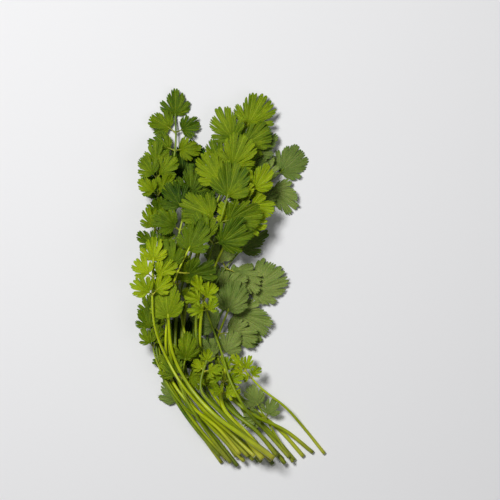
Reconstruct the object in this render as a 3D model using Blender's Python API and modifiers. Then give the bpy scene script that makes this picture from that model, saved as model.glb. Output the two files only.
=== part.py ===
"""A bunch of fresh coriander, cut and laid down on a flat surface.

Every leafy stem is one fused solid: a tapering stalk from its cut end to its leaf, the short stalks
of the leaflets, and thin fan-shaped leaflets with cut lobes and teeth. The stems are laid down one
after the other. Each is draped over the pile that is already there, so no two of them touch, and the
first ones lie on the surface at Z 0.

+X is to the right and +Y towards the leaf tips, seen from above, and +Z is up. The origin is under
the middle of the bunch. Routes and sizes are written in millimetres and scaled by MM.
"""

import math
from collections import namedtuple

import bmesh
import bpy
import numpy as np
from mathutils import Matrix

MM = 0.001

# The leafy stems, from the bottom of the pile to its top. route runs from the cut end to the base of
# the end leaflet, thick is the stalk's diameter at the cut end, size the end leaflet's length, pairs
# the number of pairs of side leaflets, spread their angle off the stalk in degrees, and curl how
# strongly the leaflets are waved. tone picks the green.
LeafyStem = namedtuple("LeafyStem", "name thick size pairs spread curl tone route")

STEMS = (
    LeafyStem("right_low", 3.4, 26, 0, 60, 0.5, "deep",
              ((38, -139), (20, -119), (6, -98), (-4, -78), (-2, -58), (6, -51))),
    LeafyStem("left_low", 2.8, 20, 0, 60, 0.6, "deep",
              ((-8, -142), (-22, -123), (-31, -110), (-36, -99), (-42, -94))),
    LeafyStem("hidden_low", 2.8, 23, 1, 60, 0.6, "dark",
              ((-2, -141), (-16, -122), (-28, -105), (-36, -86), (-40, -68), (-38, -54))),
    LeafyStem("hidden_left", 3.0, 26, 1, 60, 0.6, "dark",
              ((20, -141), (4, -122), (-14, -103), (-33, -80), (-45, -50), (-49, 0), (-45, 40),
               (-40, 64), (-37, 75))),
    LeafyStem("right_bulge", 3.8, 30, 1, 60, 0.5, "deep",
              ((47, -140), (29, -119), (8, -98), (-9, -76), (-13, -50), (-8, -28), (2, -17), (14, -12))),
    LeafyStem("right_wing", 3.4, 24, 2, 48, 0.7, "deep",
              ((31, -143), (14, -122), (-8, -103), (-24, -78), (-29, -40), (-22, 0), (-2, 38), (20, 64),
               (37, 79))),
    LeafyStem("crown_right", 3.2, 22, 1, 55, 0.7, "deep",
              ((22, -141), (5, -123), (-14, -106), (-32, -80), (-38, -45), (-32, 0), (-15, 45), (4, 78),
               (16, 93))),
    LeafyStem("top_left", 3.4, 20, 2, 62, 0.7, "fresh",
              ((4, -144), (-12, -124), (-29, -104), (-45, -78), (-53, -45), (-55, 0), (-51, 50),
               (-44, 90), (-41, 108), (-43, 122))),
    LeafyStem("left_edge_top", 2.8, 18, 2, 35, 0.9, "fresh",
              ((-4, -139), (-20, -121), (-37, -98), (-52, -70), (-59, -30), (-60, 20), (-56, 60),
               (-57, 86))),
    LeafyStem("left_edge_middle", 2.8, 18, 2, 40, 0.9, "fresh",
              ((-9, -136), (-25, -118), (-41, -96), (-55, -68), (-58, -35), (-57, 0), (-56, 28),
               (-55, 46))),
    LeafyStem("left_edge_low", 2.6, 17, 2, 30, 0.9, "fresh",
              ((3, -137), (-9, -119), (-26, -107), (-37, -97), (-48, -82), (-57, -66), (-60, -48),
               (-61, -30))),
    LeafyStem("centre_grey", 3.2, 26, 2, 60, 0.6, "deep",
              ((40, -142), (22, -121), (1, -101), (-14, -76), (-19, -40), (-13, -10), (-4, 9), (7, 20))),
    LeafyStem("top_centre", 3.4, 28, 2, 48, 0.7, "fresh",
              ((16, -139), (0, -123), (-18, -105), (-36, -80), (-43, -45), (-36, 0), (-21, 45),
               (-2, 88), (12, 114))),
    LeafyStem("middle_dark", 3.2, 25, 2, 55, 0.8, "dark",
              ((9, -140), (-8, -122), (-26, -102), (-42, -76), (-48, -40), (-44, 5), (-37, 42),
               (-31, 62))),
    LeafyStem("lower_grey", 3.4, 26, 2, 55, 0.6, "deep",
              ((54, -137), (36, -117), (14, -99), (-5, -78), (-12, -58), (-8, -42), (-3, -26))),
    LeafyStem("foot_leaf", 2.4, 17, 1, 55, 0.8, "deep",
              ((46, -141), (35, -124), (27, -110), (19, -97))),
    LeafyStem("fine_right", 2.8, 10, 2, 60, 1.2, "pale",
              ((70, -135), (58, -120), (47, -106), (38, -97), (29, -90), (20, -83), (11, -75), (6, -67))),
    LeafyStem("bright_top", 3.0, 26, 1, 55, 0.7, "fresh",
              ((12, -136), (-3, -121), (-20, -104), (-34, -80), (-37, -42), (-28, 5), (-13, 50),
               (0, 82))),
    LeafyStem("bright_right", 3.2, 23, 2, 50, 0.7, "pale",
              ((29, -140), (14, -121), (-5, -102), (-20, -78), (-24, -40), (-16, 0), (2, 38), (17, 66))),
    LeafyStem("bright_fan", 3.4, 29, 2, 62, 0.7, "fresh",
              ((34, -136), (21, -119), (1, -103), (-14, -84), (-24, -62), (-27, -32), (-21, 2), (-10, 36),
               (-3, 60))),
    LeafyStem("middle_left", 3.2, 22, 2, 60, 0.8, "fresh",
              ((61, -134), (45, -120), (30, -112), (17, -105), (-1, -92), (-18, -76), (-33, -50),
               (-40, -18), (-42, 8))),
    LeafyStem("dark_fan", 3.2, 26, 1, 62, 0.7, "dark",
              ((6, -134), (-8, -117), (-20, -107), (-31, -97), (-42, -86), (-49, -62), (-48, -30),
               (-41, 2), (-32, 20))),
    LeafyStem("big_curly", 3.0, 21, 1, 65, 1.3, "fresh",
              ((-1, -141), (-14, -124), (-25, -108), (-33, -93), (-39, -80), (-39, -70), (-35, -62))),
    LeafyStem("thick_stub", 5.2, 13, 2, 60, 1.4, "pale",
              ((23, -137), (9, -119), (-1, -108), (-6, -100), (-9, -90), (-8, -79), (-5, -70))),
    LeafyStem("curly_pair", 2.8, 13, 2, 70, 1.4, "pale",
              ((43, -137), (27, -119), (17, -109), (9, -97), (3, -86), (-3, -74), (-9, -54), (-15, -38),
               (-20, -24), (-24, -10))),
    LeafyStem("kinked", 4.2, 12, 1, 60, 1.2, "pale",
              ((27, -133), (12, -121), (-1, -110), (-9, -100), (-17, -91), (-25, -81), (-23, -72),
               (-19, -63))),
    LeafyStem("creased_leaf", 4.4, 24, 0, 50, 0.6, "fresh",
              ((31, -136), (13, -122), (2, -115), (-8, -107), (-17, -99), (-29, -86), (-38, -72),
               (-44, -58), (-47, -42), (-47, -30))),
    LeafyStem("front_left", 3.0, 18, 2, 50, 0.9, "pale",
              ((17, -135), (3, -122), (-9, -112), (-22, -99), (-34, -85), (-44, -70), (-52, -54),
               (-57, -38), (-59, -8), (-58, 12))),
)

# Stalks
JOINT_SPACING = 26.0      # between the points of a stalk's line
STALK_SIDES = 6
TIP_SHARE = 0.42          # the stalk's thickness where its leaf begins, as a share of the cut end's
LEAST_TIP_RADIUS = 0.55
SIDE_STALK_RADIUS = 0.5
SIDE_STALK_TAPER = (1.15, 1.0, 0.8)
SIDE_STALK_SIDES = 4
SIDE_STALK_REACH = 0.3    # length of a leaflet's own stalk, as a share of the leaflet's length
PAIR_STEP = 0.72          # from one pair of leaflets to the next, as a share of the end leaflet's length
PAIR_SHRINK = 0.1         # each pair lower down is smaller by this share
STALK_IN_BLADE = 0.12     # how far a stalk runs into its leaflet, as a share of the leaflet's length
SHARE_IN_BLADE = 0.7      # the stalk's thickness there, as a share of its thickness at the tip
SIDE_DROP = 0.5           # how far a side leaflet may lie below its stalk's start, as a share of its reach
COURSE_STEP = 4.0         # stretch over which the stalk's course is taken
ROUTE_STEPS = 24          # points worked out between two of a route's points

# Leaflets
BLADE_THICKNESS = 0.8
FAN_HALF_ANGLE = math.radians(105)
FAN_NARROWING = 0.75      # the fan's edge falls off as the cosine of this share of the angle
TOOTH_CUT = 0.1
LOBE_CUT = 0.42
HEEL = 0.07               # radius of the small round heel behind the leaflet's base
CORE = 0.2                # radius of the flat part round the base, into which the stalk runs
CORE_ANGLES = (-60, 0, 60)
HEEL_ANGLE = 150          # between the leaflet's axis and the core's corners behind its base
RIPPLES = 3               # waves of the blade in each turn round its base
MIDRIB_WIDTH = 0.3        # angle in which the wave dies out toward the midrib
SIZE_RANGE = (0.86, 1.12)
FOLD_RANGE = (-0.12, 0.25)
WAVE_RANGE = (0.03, 0.08)
SPREAD_RANGE = (0.8, 1.2)
FACING_RANGE = 28         # degrees that a side leaflet turns off its own stalk
LARGE_LEAFLET = 23.0
SMALL_LEAFLET = 15.0

# Draping
CELL = 1.0                # of the height grid
GRID_LOW = (-110, -175)
GRID_HIGH = (110, 185)
HALF_CELL = 0.5
GAP = 0.35                # kept between a new piece and the pile
LEAN_TRIES = (0.0, 0.12, 0.24, 0.36, 0.5)   # slopes that a leaflet tries to lie as low as it can
LEAN_SPREAD = 0.1         # its own random slope
LEAN_COST = 6.0           # how much lower it must lie, in millimetres per unit of slope
DRAPE_ROUNDS = 40
SAMPLE_STEP = 1.5         # between the spots that are tested along a stalk
LEAST_SHARE = 0.04        # a spot this close to the stretch's far end is left to that end
INNER_PART = 0.25         # the share of a side stalk's way that lies beside the main stalk
OUTER_PART = 0.5          # the share from which it is as high as its leaflet's base
BLADE_CLEARANCE = 1.2     # of half the blade's thickness
SINK = 0.25
SEED = 11

# Fusing
WELD = 0.002
NUDGE = 0.02
FUSE_TRIES = 10

GREENS = {"deep": (0.16, 0.25, 0.05), "fresh": (0.2, 0.34, 0.02), "pale": (0.32, 0.45, 0.06),
          "dark": (0.09, 0.17, 0.01)}

Leaflet = namedtuple("Leaflet", "base heading size teeth lobes lean fold wave phase")


class Pile:
    """The height of everything laid down so far, on a square grid in millimetres."""

    def __init__(self):
        columns = int((GRID_HIGH[0] - GRID_LOW[0]) / CELL) + 1
        rows = int((GRID_HIGH[1] - GRID_LOW[1]) / CELL) + 1
        self.height = np.zeros((columns, rows))

    def cell_of(self, x, y):
        """Grid numbers of the cell that holds each point."""
        i = np.round((np.asarray(x) - GRID_LOW[0]) / CELL).astype(int)
        j = np.round((np.asarray(y) - GRID_LOW[1]) / CELL).astype(int)
        return i, j

    def cells_round(self, x, y, radius):
        """Grid cells that a round stalk of this radius covers at a point, and its half height there."""
        n = int(math.ceil(radius + HALF_CELL))
        middle = self.cell_of(x, y)
        i, j = np.meshgrid(np.arange(-n, n + 1), np.arange(-n, n + 1), indexing="ij")
        i, j = (i + middle[0]).ravel(), (j + middle[1]).ravel()
        away = np.hypot(i * CELL + GRID_LOW[0] - x, j * CELL + GRID_LOW[1] - y) - HALF_CELL
        inside = away < radius
        return (i[inside], j[inside]), np.sqrt(radius ** 2 - np.maximum(away[inside], 0) ** 2)

    def clear_height(self, x, y, radius, on_surface):
        """The least height of a round stalk's middle at a point, clear of the pile under it."""
        cells, half = self.cells_round(x, y, radius)
        under = self.height[cells]
        return float(np.where(under > 0, under + half + GAP, on_surface).max())

    def add_ball(self, point, radius):
        """Raises the pile to the top of a round stalk at this point."""
        cells, half = self.cells_round(point[0], point[1], radius)
        np.maximum.at(self.height, cells, point[2] + half)

    def add_cells(self, cells, tops):
        np.maximum.at(self.height, cells, tops)

    @property
    def high(self):
        """The greatest height in each cell and the eight round it."""
        wide = np.maximum(self.height, np.maximum(np.roll(self.height, 1, 0), np.roll(self.height, -1, 0)))
        return np.maximum(wide, np.maximum(np.roll(wide, 1, 1), np.roll(wide, -1, 1)))


def cells_under(points, triangles):
    """Grid cells under a set of triangles, with the surface's height over each."""
    found_i, found_j, found_z = [], [], []
    slack = 0.75 * CELL
    for triangle in triangles:
        a, b, c = points[triangle]
        low = np.minimum(np.minimum(a, b), c)[:2] - slack
        high = np.maximum(np.maximum(a, b), c)[:2] + slack
        across = np.arange(math.ceil((low[0] - GRID_LOW[0]) / CELL),
                           math.floor((high[0] - GRID_LOW[0]) / CELL) + 1)
        along = np.arange(math.ceil((low[1] - GRID_LOW[1]) / CELL),
                          math.floor((high[1] - GRID_LOW[1]) / CELL) + 1)
        i, j = np.meshgrid(across, along, indexing="ij")
        x = i * CELL + GRID_LOW[0] - a[0]
        y = j * CELL + GRID_LOW[1] - a[1]
        area = (b[0] - a[0]) * (c[1] - a[1]) - (c[0] - a[0]) * (b[1] - a[1])
        if abs(area) < 1e-6:
            continue
        to_b = (x * (c[1] - a[1]) - (c[0] - a[0]) * y) / area
        to_c = ((b[0] - a[0]) * y - x * (b[1] - a[1])) / area
        longest = max(np.hypot(*(b - a)[:2]), np.hypot(*(c - a)[:2]), np.hypot(*(c - b)[:2]))
        ease = slack * longest / abs(area)
        inside = (to_b > -ease) & (to_c > -ease) & (to_b + to_c < 1 + ease)
        to_b = np.clip(to_b, 0, 1)
        to_c = np.clip(to_c, 0, 1)
        z = a[2] + to_b * (b[2] - a[2]) + to_c * (c[2] - a[2])
        found_i.append(i[inside])
        found_j.append(j[inside])
        found_z.append(z[inside])
    return (np.concatenate(found_i), np.concatenate(found_j)), np.concatenate(found_z)


def smooth_line(route, spacing):
    """Evenly spaced points on a smooth curve through the route's own points (Catmull-Rom)."""
    knots = np.array([2 * np.array(route[0]) - route[1], *route, 2 * np.array(route[-1]) - route[-2]],
                     float)
    t = np.linspace(0, 1, ROUTE_STEPS + 1)[:-1, None]
    pieces = []
    for k in range(1, len(knots) - 2):
        p0, p1, p2, p3 = knots[k - 1:k + 3]
        pieces.append(0.5 * (2 * p1 + (p2 - p0) * t + (2 * p0 - 5 * p1 + 4 * p2 - p3) * t ** 2
                             + (3 * p1 - p0 - 3 * p2 + p3) * t ** 3))
    line = np.vstack([*pieces, knots[-2]])
    travelled = np.concatenate([[0], np.cumsum(np.linalg.norm(np.diff(line, axis=0), axis=1))])
    count = max(3, int(round(travelled[-1] / spacing)) + 1)
    at = np.linspace(0, travelled[-1], count)
    return np.stack([np.interp(at, travelled, line[:, axis]) for axis in (0, 1)], axis=1)


def between(first, second, spacing=SAMPLE_STEP):
    """Points from first to second, and each one's share of the way."""
    count = max(2, int(np.linalg.norm(second - first) / spacing) + 1)
    share = np.linspace(0, 1, count)
    return first + (second - first) * share[:, None], share


def draped_heights(pile, line, radii):
    """Heights of a stalk's points that keep each straight stretch between them clear of the pile.

    On bare surface the stalk's flat underside lies at Z 0. All points start as high as the pile's
    highest under the stalk, and sink little by little until some spot beside them would touch.
    """
    flat = math.cos(math.pi / STALK_SIDES)
    spots, shares, least = [], [], []
    for k in range(len(line) - 1):
        places, share = between(line[k], line[k + 1])
        for (x, y), part in zip(places, share, strict=True):
            radius = radii[k] + (radii[k + 1] - radii[k]) * part
            spots.append(k)
            shares.append(part)
            least.append(pile.clear_height(x, y, radius, radius * flat))
    spots, shares, least = np.array(spots), np.array(shares), np.array(least)
    heights = np.full(len(line), least.max())
    for _ in range(DRAPE_ROUNDS):
        for k in range(len(line)):
            lowest = radii[k] * flat
            for stretch, own in ((k - 1, shares), (k, 1 - shares)):
                here = (spots == stretch) & (own > LEAST_SHARE)
                if here.any():
                    other = heights[stretch if stretch < k else k + 1]
                    lowest = max(lowest, ((least[here] - other * (1 - own[here])) / own[here]).max())
            heights[k] += SINK * (lowest - heights[k])
    return heights


def lay_stalk(pile, points, radii):
    """Adds a stalk of straight stretches to the pile."""
    for k in range(len(points) - 1):
        spots, share = between(points[k], points[k + 1], CELL)
        for spot, part in zip(spots, share, strict=True):
            pile.add_ball(spot, radii[k] + (radii[k + 1] - radii[k]) * part)


def teeth_of(size):
    """How many teeth a leaflet of this size has, and how many of them each of its lobes takes."""
    if size >= LARGE_LEAFLET:
        return 11, (3, 5, 3)
    if size >= SMALL_LEAFLET:
        return 9, (3, 3, 3)
    return 7, (2, 3, 2)


def leaflet_outline(leaflet):
    """Angles off the leaflet's axis and radii, round its edge: notch, tooth tip, notch, and so on.

    The fan's radius falls off with the cosine of the angle. The cuts between lobes are deeper than
    those between teeth.
    """
    count = 2 * leaflet.teeth + 1
    angle = np.linspace(-FAN_HALF_ANGLE, FAN_HALF_ANGLE, count)
    radius = leaflet.size * np.cos(FAN_NARROWING * angle)
    cut = np.full(leaflet.teeth + 1, TOOTH_CUT)
    cut[np.cumsum(leaflet.lobes)[:-1]] = LOBE_CUT
    radius[::2] *= 1 - cut
    return angle, radius


def leaflet_core(leaflet):
    """Angles and radii of the flat core's corners, from one side of the heel round to the other."""
    behind = math.radians(HEEL_ANGLE)
    angle = np.concatenate([[-behind], np.radians(CORE_ANGLES), [behind]])
    radius = np.full(len(angle), CORE * leaflet.size)
    radius[[0, -1]] = HEEL * leaflet.size
    return angle, radius


def leaflet_sheet(leaflet):
    """The corners and triangles of the leaflet's middle surface: its core, and the fan round it."""
    edge_angle, edge_radius = leaflet_outline(leaflet)
    core_angle, core_radius = leaflet_core(leaflet)
    points = leaflet_surface(leaflet, np.concatenate([core_angle, edge_angle]),
                             np.concatenate([core_radius, edge_radius]))
    core, edge = len(core_angle), len(edge_angle)
    triangles = [(0, n + 1, n) for n in range(1, core - 1)]
    inner, outer = 0, 0
    while inner < core - 1 or outer < edge - 1:
        next_inner = core_angle[inner + 1] if inner < core - 1 else math.inf
        next_outer = edge_angle[outer + 1] if outer < edge - 1 else math.inf
        if next_inner + core_angle[inner] < next_outer + edge_angle[outer]:
            triangles.append((inner, inner + 1, core + outer))
            inner += 1
        else:
            triangles.append((inner, core + outer + 1, core + outer))
            outer += 1
    return points, np.array(triangles)[:, ::-1]


def leaflet_surface(leaflet, angle, radius):
    """Points of the leaflet's middle surface at polar places round its base.

    The blade is folded along its midrib and waved across the fan, both growing with the distance from
    the flat core round its base, and then leans as a whole.
    """
    across = radius * np.sin(angle)
    along = radius * np.cos(angle)
    near_midrib = np.exp(-(angle / MIDRIB_WIDTH) ** 2)
    ripple = np.sin(RIPPLES * angle + leaflet.phase) - math.sin(leaflet.phase) * near_midrib
    lift = leaflet.fold * np.abs(across) + leaflet.wave * radius * ripple
    lift *= np.maximum(0, 1 - CORE * leaflet.size / np.maximum(radius, 1e-9))
    c, s = math.cos(leaflet.heading), math.sin(leaflet.heading)
    flat = np.stack([along * c - across * s, along * s + across * c], axis=-1)
    steep = float(np.hypot(*leaflet.lean))
    tilt = math.atan(steep)
    uphill = leaflet.lean / max(steep, 1e-9)
    rise = flat @ uphill
    moved = flat - ((1 - math.cos(tilt)) * rise + math.sin(tilt) * lift)[..., None] * uphill
    z = math.sin(tilt) * rise + math.cos(tilt) * lift
    return np.concatenate([moved, z[..., None]], axis=-1) + leaflet.base


def settle_leaflet(pile, leaflet, least):
    """The leaflet as it lies lowest on the pile, no lower than least, and clear of what is under it."""
    half = BLADE_THICKNESS / 2 * BLADE_CLEARANCE
    high = pile.high
    best = None
    for steep in LEAN_TRIES:
        for turn in np.arange(0, 2 * math.pi, math.pi / 4) if steep else (0.0,):
            lean = leaflet.lean + steep * np.array([math.cos(turn), math.sin(turn)])
            trial = leaflet._replace(lean=lean)
            cells, over = cells_under(*leaflet_sheet(trial))
            under = high[cells]
            clear = np.where(under > 0, under + half + GAP, half)
            raised = max(least, float((clear - over).max()))
            rating = raised + over.mean() + LEAN_COST * steep
            if best is None or rating < best[0]:
                best = (rating, trial, raised, cells, over)
    _, trial, raised, cells, over = best
    pile.add_cells(cells, over + raised + half)
    return trial._replace(base=trial.base + np.array([0, 0, raised]))


def new_leaflet(rng, spot, heading, size, curl):
    """A leaflet at a spot of the plan, with its own random form."""
    size = size * rng.uniform(*SIZE_RANGE)
    teeth, lobes = teeth_of(size)
    lean = rng.uniform(-LEAN_SPREAD, LEAN_SPREAD, 2) * (0.5 + curl)
    fold = rng.uniform(*FOLD_RANGE) * (0.4 + curl)
    wave = rng.uniform(*WAVE_RANGE) * curl
    phase = rng.uniform(0, 2 * math.pi)
    return Leaflet(np.array([*spot, 0.0]), heading, size, teeth, lobes, lean, fold, wave, phase)


def into_blade(leaflet):
    """A point on the leaflet's midrib, a little way in from its base."""
    inside = leaflet_surface(leaflet, np.array([0.0]), np.array([STALK_IN_BLADE * leaflet.size]))
    return inside[0]


def least_heights(under, start, spot):
    """The least heights of a side stalk's middle and far end, clear of what lies under its way."""
    places, share = between(start, spot, CELL)
    clear = np.array([under.clear_height(x, y, SIDE_STALK_RADIUS, 0) for x, y in places])
    return clear[share > INNER_PART].max(), clear[share > OUTER_PART].max()


def side_stalk(start, leaflet, least):
    """The short bent stalk from its start on the main stalk into a side leaflet."""
    middle = (start + leaflet.base) / 2
    middle[2] = max(middle[2], least)
    return np.array([start, middle, into_blade(leaflet)])


def grow(stem, number, pile):
    """Lays one leafy stem on the pile: its stalk's points and radii, side stalks and leaflets."""
    rng = np.random.default_rng(SEED + number)
    line = smooth_line(stem.route, JOINT_SPACING)
    share = np.linspace(0, 1, len(line))
    tip = max(LEAST_TIP_RADIUS, TIP_SHARE * stem.thick / 2)
    radii = stem.thick / 2 + (tip - stem.thick / 2) * share
    under = Pile()
    under.height = pile.height.copy()
    stalk = np.column_stack([line, draped_heights(pile, line, radii)])
    lay_stalk(pile, stalk[:-1], radii)

    travelled = np.concatenate([[0], np.cumsum(np.linalg.norm(np.diff(stalk, axis=0), axis=1))])
    end_run = line[-1] - line[-2]
    heading = math.atan2(end_run[1], end_run[0])
    end_leaflet = settle_leaflet(pile, new_leaflet(rng, line[-1], heading, stem.size, stem.curl),
                                 stalk[-1][2])
    stalk[-1] = end_leaflet.base
    leaflets, side_stalks = [end_leaflet], []
    for pair in range(1, stem.pairs + 1):
        size = stem.size * (1 - PAIR_SHRINK * pair)
        back = travelled[-1] - pair * PAIR_STEP * stem.size
        start = np.array([np.interp(back, travelled, stalk[:, axis]) for axis in range(3)])
        ahead = np.array([np.interp(back + COURSE_STEP, travelled, stalk[:, axis]) for axis in (0, 1)])
        course = math.atan2(*(ahead - start[:2])[::-1])
        for side in (-1, 1):
            turn = course + side * math.radians(stem.spread * rng.uniform(*SPREAD_RANGE))
            reach = SIDE_STALK_REACH * size * rng.uniform(*SPREAD_RANGE)
            spot = start[:2] + reach * np.array([math.cos(turn), math.sin(turn)])
            facing = turn + math.radians(rng.uniform(-FACING_RANGE, FACING_RANGE))
            leaflet = new_leaflet(rng, spot, facing, size, stem.curl)
            least_middle, least_end = least_heights(under, start[:2], spot)
            leaflet = settle_leaflet(pile, leaflet, max(least_end, start[2] - SIDE_DROP * reach))
            leaflets.append(leaflet)
            side_stalks.append(side_stalk(start, leaflet, least_middle))
    lay_stalk(pile, stalk[-2:], radii[-2:])
    for points in side_stalks:
        lay_stalk(pile, points, np.full(len(points), SIDE_STALK_RADIUS))
    stalk = np.vstack([stalk, into_blade(end_leaflet)])
    radii = np.append(radii, radii[-1] * SHARE_IN_BLADE)
    return stalk, radii, side_stalks, leaflets


def material(tone):
    """A leaf-green finish."""
    made = bpy.data.materials.get(tone)
    if made is None:
        made = bpy.data.materials.new(tone)
        made.use_nodes = True
        shader = made.node_tree.nodes["Principled BSDF"]
        shader.inputs["Base Color"].default_value = (*GREENS[tone], 1)
        shader.inputs["Roughness"].default_value = 0.5
        shader.inputs["Metallic"].default_value = 0.0
    return made


def as_mesh_object(source, name, collection):
    """A mesh object made from what a curve or a modified mesh shows, in its place. The source goes."""
    graph = bpy.context.evaluated_depsgraph_get()
    mesh = bpy.data.meshes.new_from_object(source.evaluated_get(graph))
    edit = bmesh.new()
    edit.from_mesh(mesh)
    bmesh.ops.remove_doubles(edit, verts=edit.verts, dist=WELD * MM)
    edit.to_mesh(mesh)
    edit.free()
    made = bpy.data.objects.new(name, mesh)
    made.matrix_world = source.matrix_world
    collection.objects.link(made)
    bpy.data.objects.remove(source)
    return made


def tube(name, points, radii, sides, collection):
    """A round stalk along straight stretches, as thick at each point as radii says."""
    curve = bpy.data.curves.new(name, "CURVE")
    curve.dimensions = "3D"
    curve.twist_mode = "Z_UP"
    curve.bevel_depth = MM
    curve.bevel_resolution = (sides - 4) // 2
    curve.use_fill_caps = True
    spline = curve.splines.new("POLY")
    spline.points.add(len(points) - 1)
    for spot, place, radius in zip(spline.points, points, radii, strict=True):
        spot.co = (*(place * MM), 1)
        spot.radius = radius
    holder = bpy.data.objects.new(name + "_line", curve)
    collection.objects.link(holder)
    bpy.context.view_layer.update()
    return as_mesh_object(holder, name, collection)


def blade(name, leaflet, collection):
    """A leaflet: an open sheet with a toothed edge, given its thickness."""
    points, triangles = leaflet_sheet(leaflet)
    mesh = bpy.data.meshes.new(name)
    mesh.from_pydata((points * MM).tolist(), [], triangles.tolist())
    sheet = bpy.data.objects.new(name + "_sheet", mesh)
    collection.objects.link(sheet)
    wall = sheet.modifiers.new("Thickness", "SOLIDIFY")
    wall.thickness = BLADE_THICKNESS * MM
    wall.offset = 0
    bpy.context.view_layer.update()
    return as_mesh_object(sheet, name, collection)


def keep_outer_shell(edit):
    """Drops loose scraps and the walls of sealed hollows: only the widest connected shell stays."""
    left = set(edit.verts)
    shells = []
    while left:
        shell, front = [], [left.pop()]
        while front:
            corner = front.pop()
            shell.append(corner)
            for edge in corner.link_edges:
                other = edge.other_vert(corner)
                if other in left:
                    left.remove(other)
                    front.append(other)
        shells.append(shell)
    shells.sort(key=len)
    for shell in shells[:-1]:
        bmesh.ops.delete(edit, geom=shell, context="VERTS")


def cleaned(mesh, corners):
    """Drops scraps, splits the faces into triangles, and says whether the mesh is one closed surface."""
    edit = bmesh.new()
    edit.from_mesh(mesh)
    keep_outer_shell(edit)
    bmesh.ops.triangulate(edit, faces=edit.faces, quad_method=corners, ngon_method=corners)
    sound = all(len(edge.link_faces) == 2 for edge in edit.edges)
    if sound:
        edit.to_mesh(mesh)
    edit.free()
    return sound


def fuse(body, pieces, collection):
    """Joins the pieces to the body as one solid, and removes them.

    Where a join comes out with a flaw, its faces are split another way, and then the pieces are
    nudged by a few hundredths of a millimetre and joined again.
    """
    join = body.modifiers.new("Join", "BOOLEAN")
    join.operation = "UNION"
    join.operand_type = "COLLECTION"
    join.collection = pieces
    join.solver = "EXACT"
    name = body.name
    body.name = name + "_stalk"
    for attempt in range(FUSE_TRIES):
        for n, piece in enumerate(pieces.objects):
            piece.location.z = NUDGE * MM * attempt * ((n * 7) % 5 - 2)
        bpy.context.view_layer.update()
        trial = body.copy()
        collection.objects.link(trial)
        bpy.context.view_layer.update()
        made = as_mesh_object(trial, name, collection)
        if cleaned(made.data, "BEAUTY") or attempt == FUSE_TRIES - 1:
            break
        bpy.data.objects.remove(made)
    bpy.data.objects.remove(body)
    for piece in list(pieces.objects):
        bpy.data.objects.remove(piece)
    bpy.data.collections.remove(pieces)
    return made


def build_stem(stem, number, pile, collection):
    """One leafy stem as one solid."""
    stalk, radii, side_stalks, leaflets = grow(stem, number, pile)
    body = tube(stem.name, stalk, radii, STALK_SIDES, collection)
    pieces = bpy.data.collections.new(stem.name + "_pieces")
    bpy.context.scene.collection.children.link(pieces)
    for n, points in enumerate(side_stalks):
        radii = np.array(SIDE_STALK_TAPER) * SIDE_STALK_RADIUS
        tube(f"{stem.name}_side_{n}", points, radii, SIDE_STALK_SIDES, pieces)
    for n, leaflet in enumerate(leaflets):
        blade(f"{stem.name}_blade_{n}", leaflet, pieces)
    made = fuse(body, pieces, collection)
    made.data.materials.clear()
    made.data.materials.append(material(stem.tone))
    return made


def centre(collection):
    """Moves the bunch so that the middle of its plan is over the origin."""
    corners = np.array([corner.co for made in collection.objects for corner in made.data.vertices])
    middle = (corners.min(axis=0) + corners.max(axis=0)) / 2
    for made in collection.objects:
        made.data.transform(Matrix.Translation((-middle[0], -middle[1], 0)))


def main():
    for old in list(bpy.data.objects):
        bpy.data.objects.remove(old)
    bunch = bpy.data.collections.new("coriander_bunch")
    bpy.context.scene.collection.children.link(bunch)
    pile = Pile()
    for number, stem in enumerate(STEMS):
        build_stem(stem, number, pile, bunch)
    centre(bunch)


if __name__ == "__main__":
    main()
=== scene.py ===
"""A bunch of fresh coriander lying on its side, with its leaflets, veins and ribbed stalks.

Each leafy stem of the frame is replaced by one finer piece on the same route: a ribbed stalk, the
short stalks of the leaflets, and thin lobed leaflets with rounded teeth. The stems are laid down one
after the other on a pile, as the solids are, so every piece lies where its solid lies.

Routes, sizes and heights are worked out in millimetres and scaled by MM when a mesh is made.
"""

import functools
import math
from collections import namedtuple

import bpy
import numpy as np
from mathutils import Matrix, Vector


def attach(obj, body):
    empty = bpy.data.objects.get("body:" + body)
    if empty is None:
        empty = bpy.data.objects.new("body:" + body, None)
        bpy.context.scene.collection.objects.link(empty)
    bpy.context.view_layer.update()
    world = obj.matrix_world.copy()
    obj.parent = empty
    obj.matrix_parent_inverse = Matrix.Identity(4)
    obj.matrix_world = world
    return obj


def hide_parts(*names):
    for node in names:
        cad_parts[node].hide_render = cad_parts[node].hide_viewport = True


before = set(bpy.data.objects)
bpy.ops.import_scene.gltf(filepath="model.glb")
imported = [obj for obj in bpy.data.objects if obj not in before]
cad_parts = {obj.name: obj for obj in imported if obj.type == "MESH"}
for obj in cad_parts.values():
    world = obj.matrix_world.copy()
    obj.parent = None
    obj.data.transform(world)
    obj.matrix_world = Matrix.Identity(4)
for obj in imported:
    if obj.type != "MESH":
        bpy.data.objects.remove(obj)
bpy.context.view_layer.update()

bl_info = {
    "name": "Coriander bunch",
    "version": (1, 0, 0),
    "blender": (4, 5, 0),
    "location": "View3D > Sidebar > Coriander",
    "description": "Leafy stems of a bunch of coriander lying on a surface",
    "category": "Add Mesh",
}

MM = 0.001

# The leafy stems, from the bottom of the pile to its top. route runs from the cut end to the base of
# the end leaflet, thick is the stalk's diameter at the cut end, size the end leaflet's length, pairs
# the number of pairs of side leaflets, spread their angle off the stalk in degrees, and curl how
# strongly the leaflets are waved. tone picks the green; the dark tone's greens are painted shade, a
# darker copy of the green for stems that stand for the shade among the leaves.
LeafyStem = namedtuple("LeafyStem", "name thick size pairs spread curl tone route")

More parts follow.
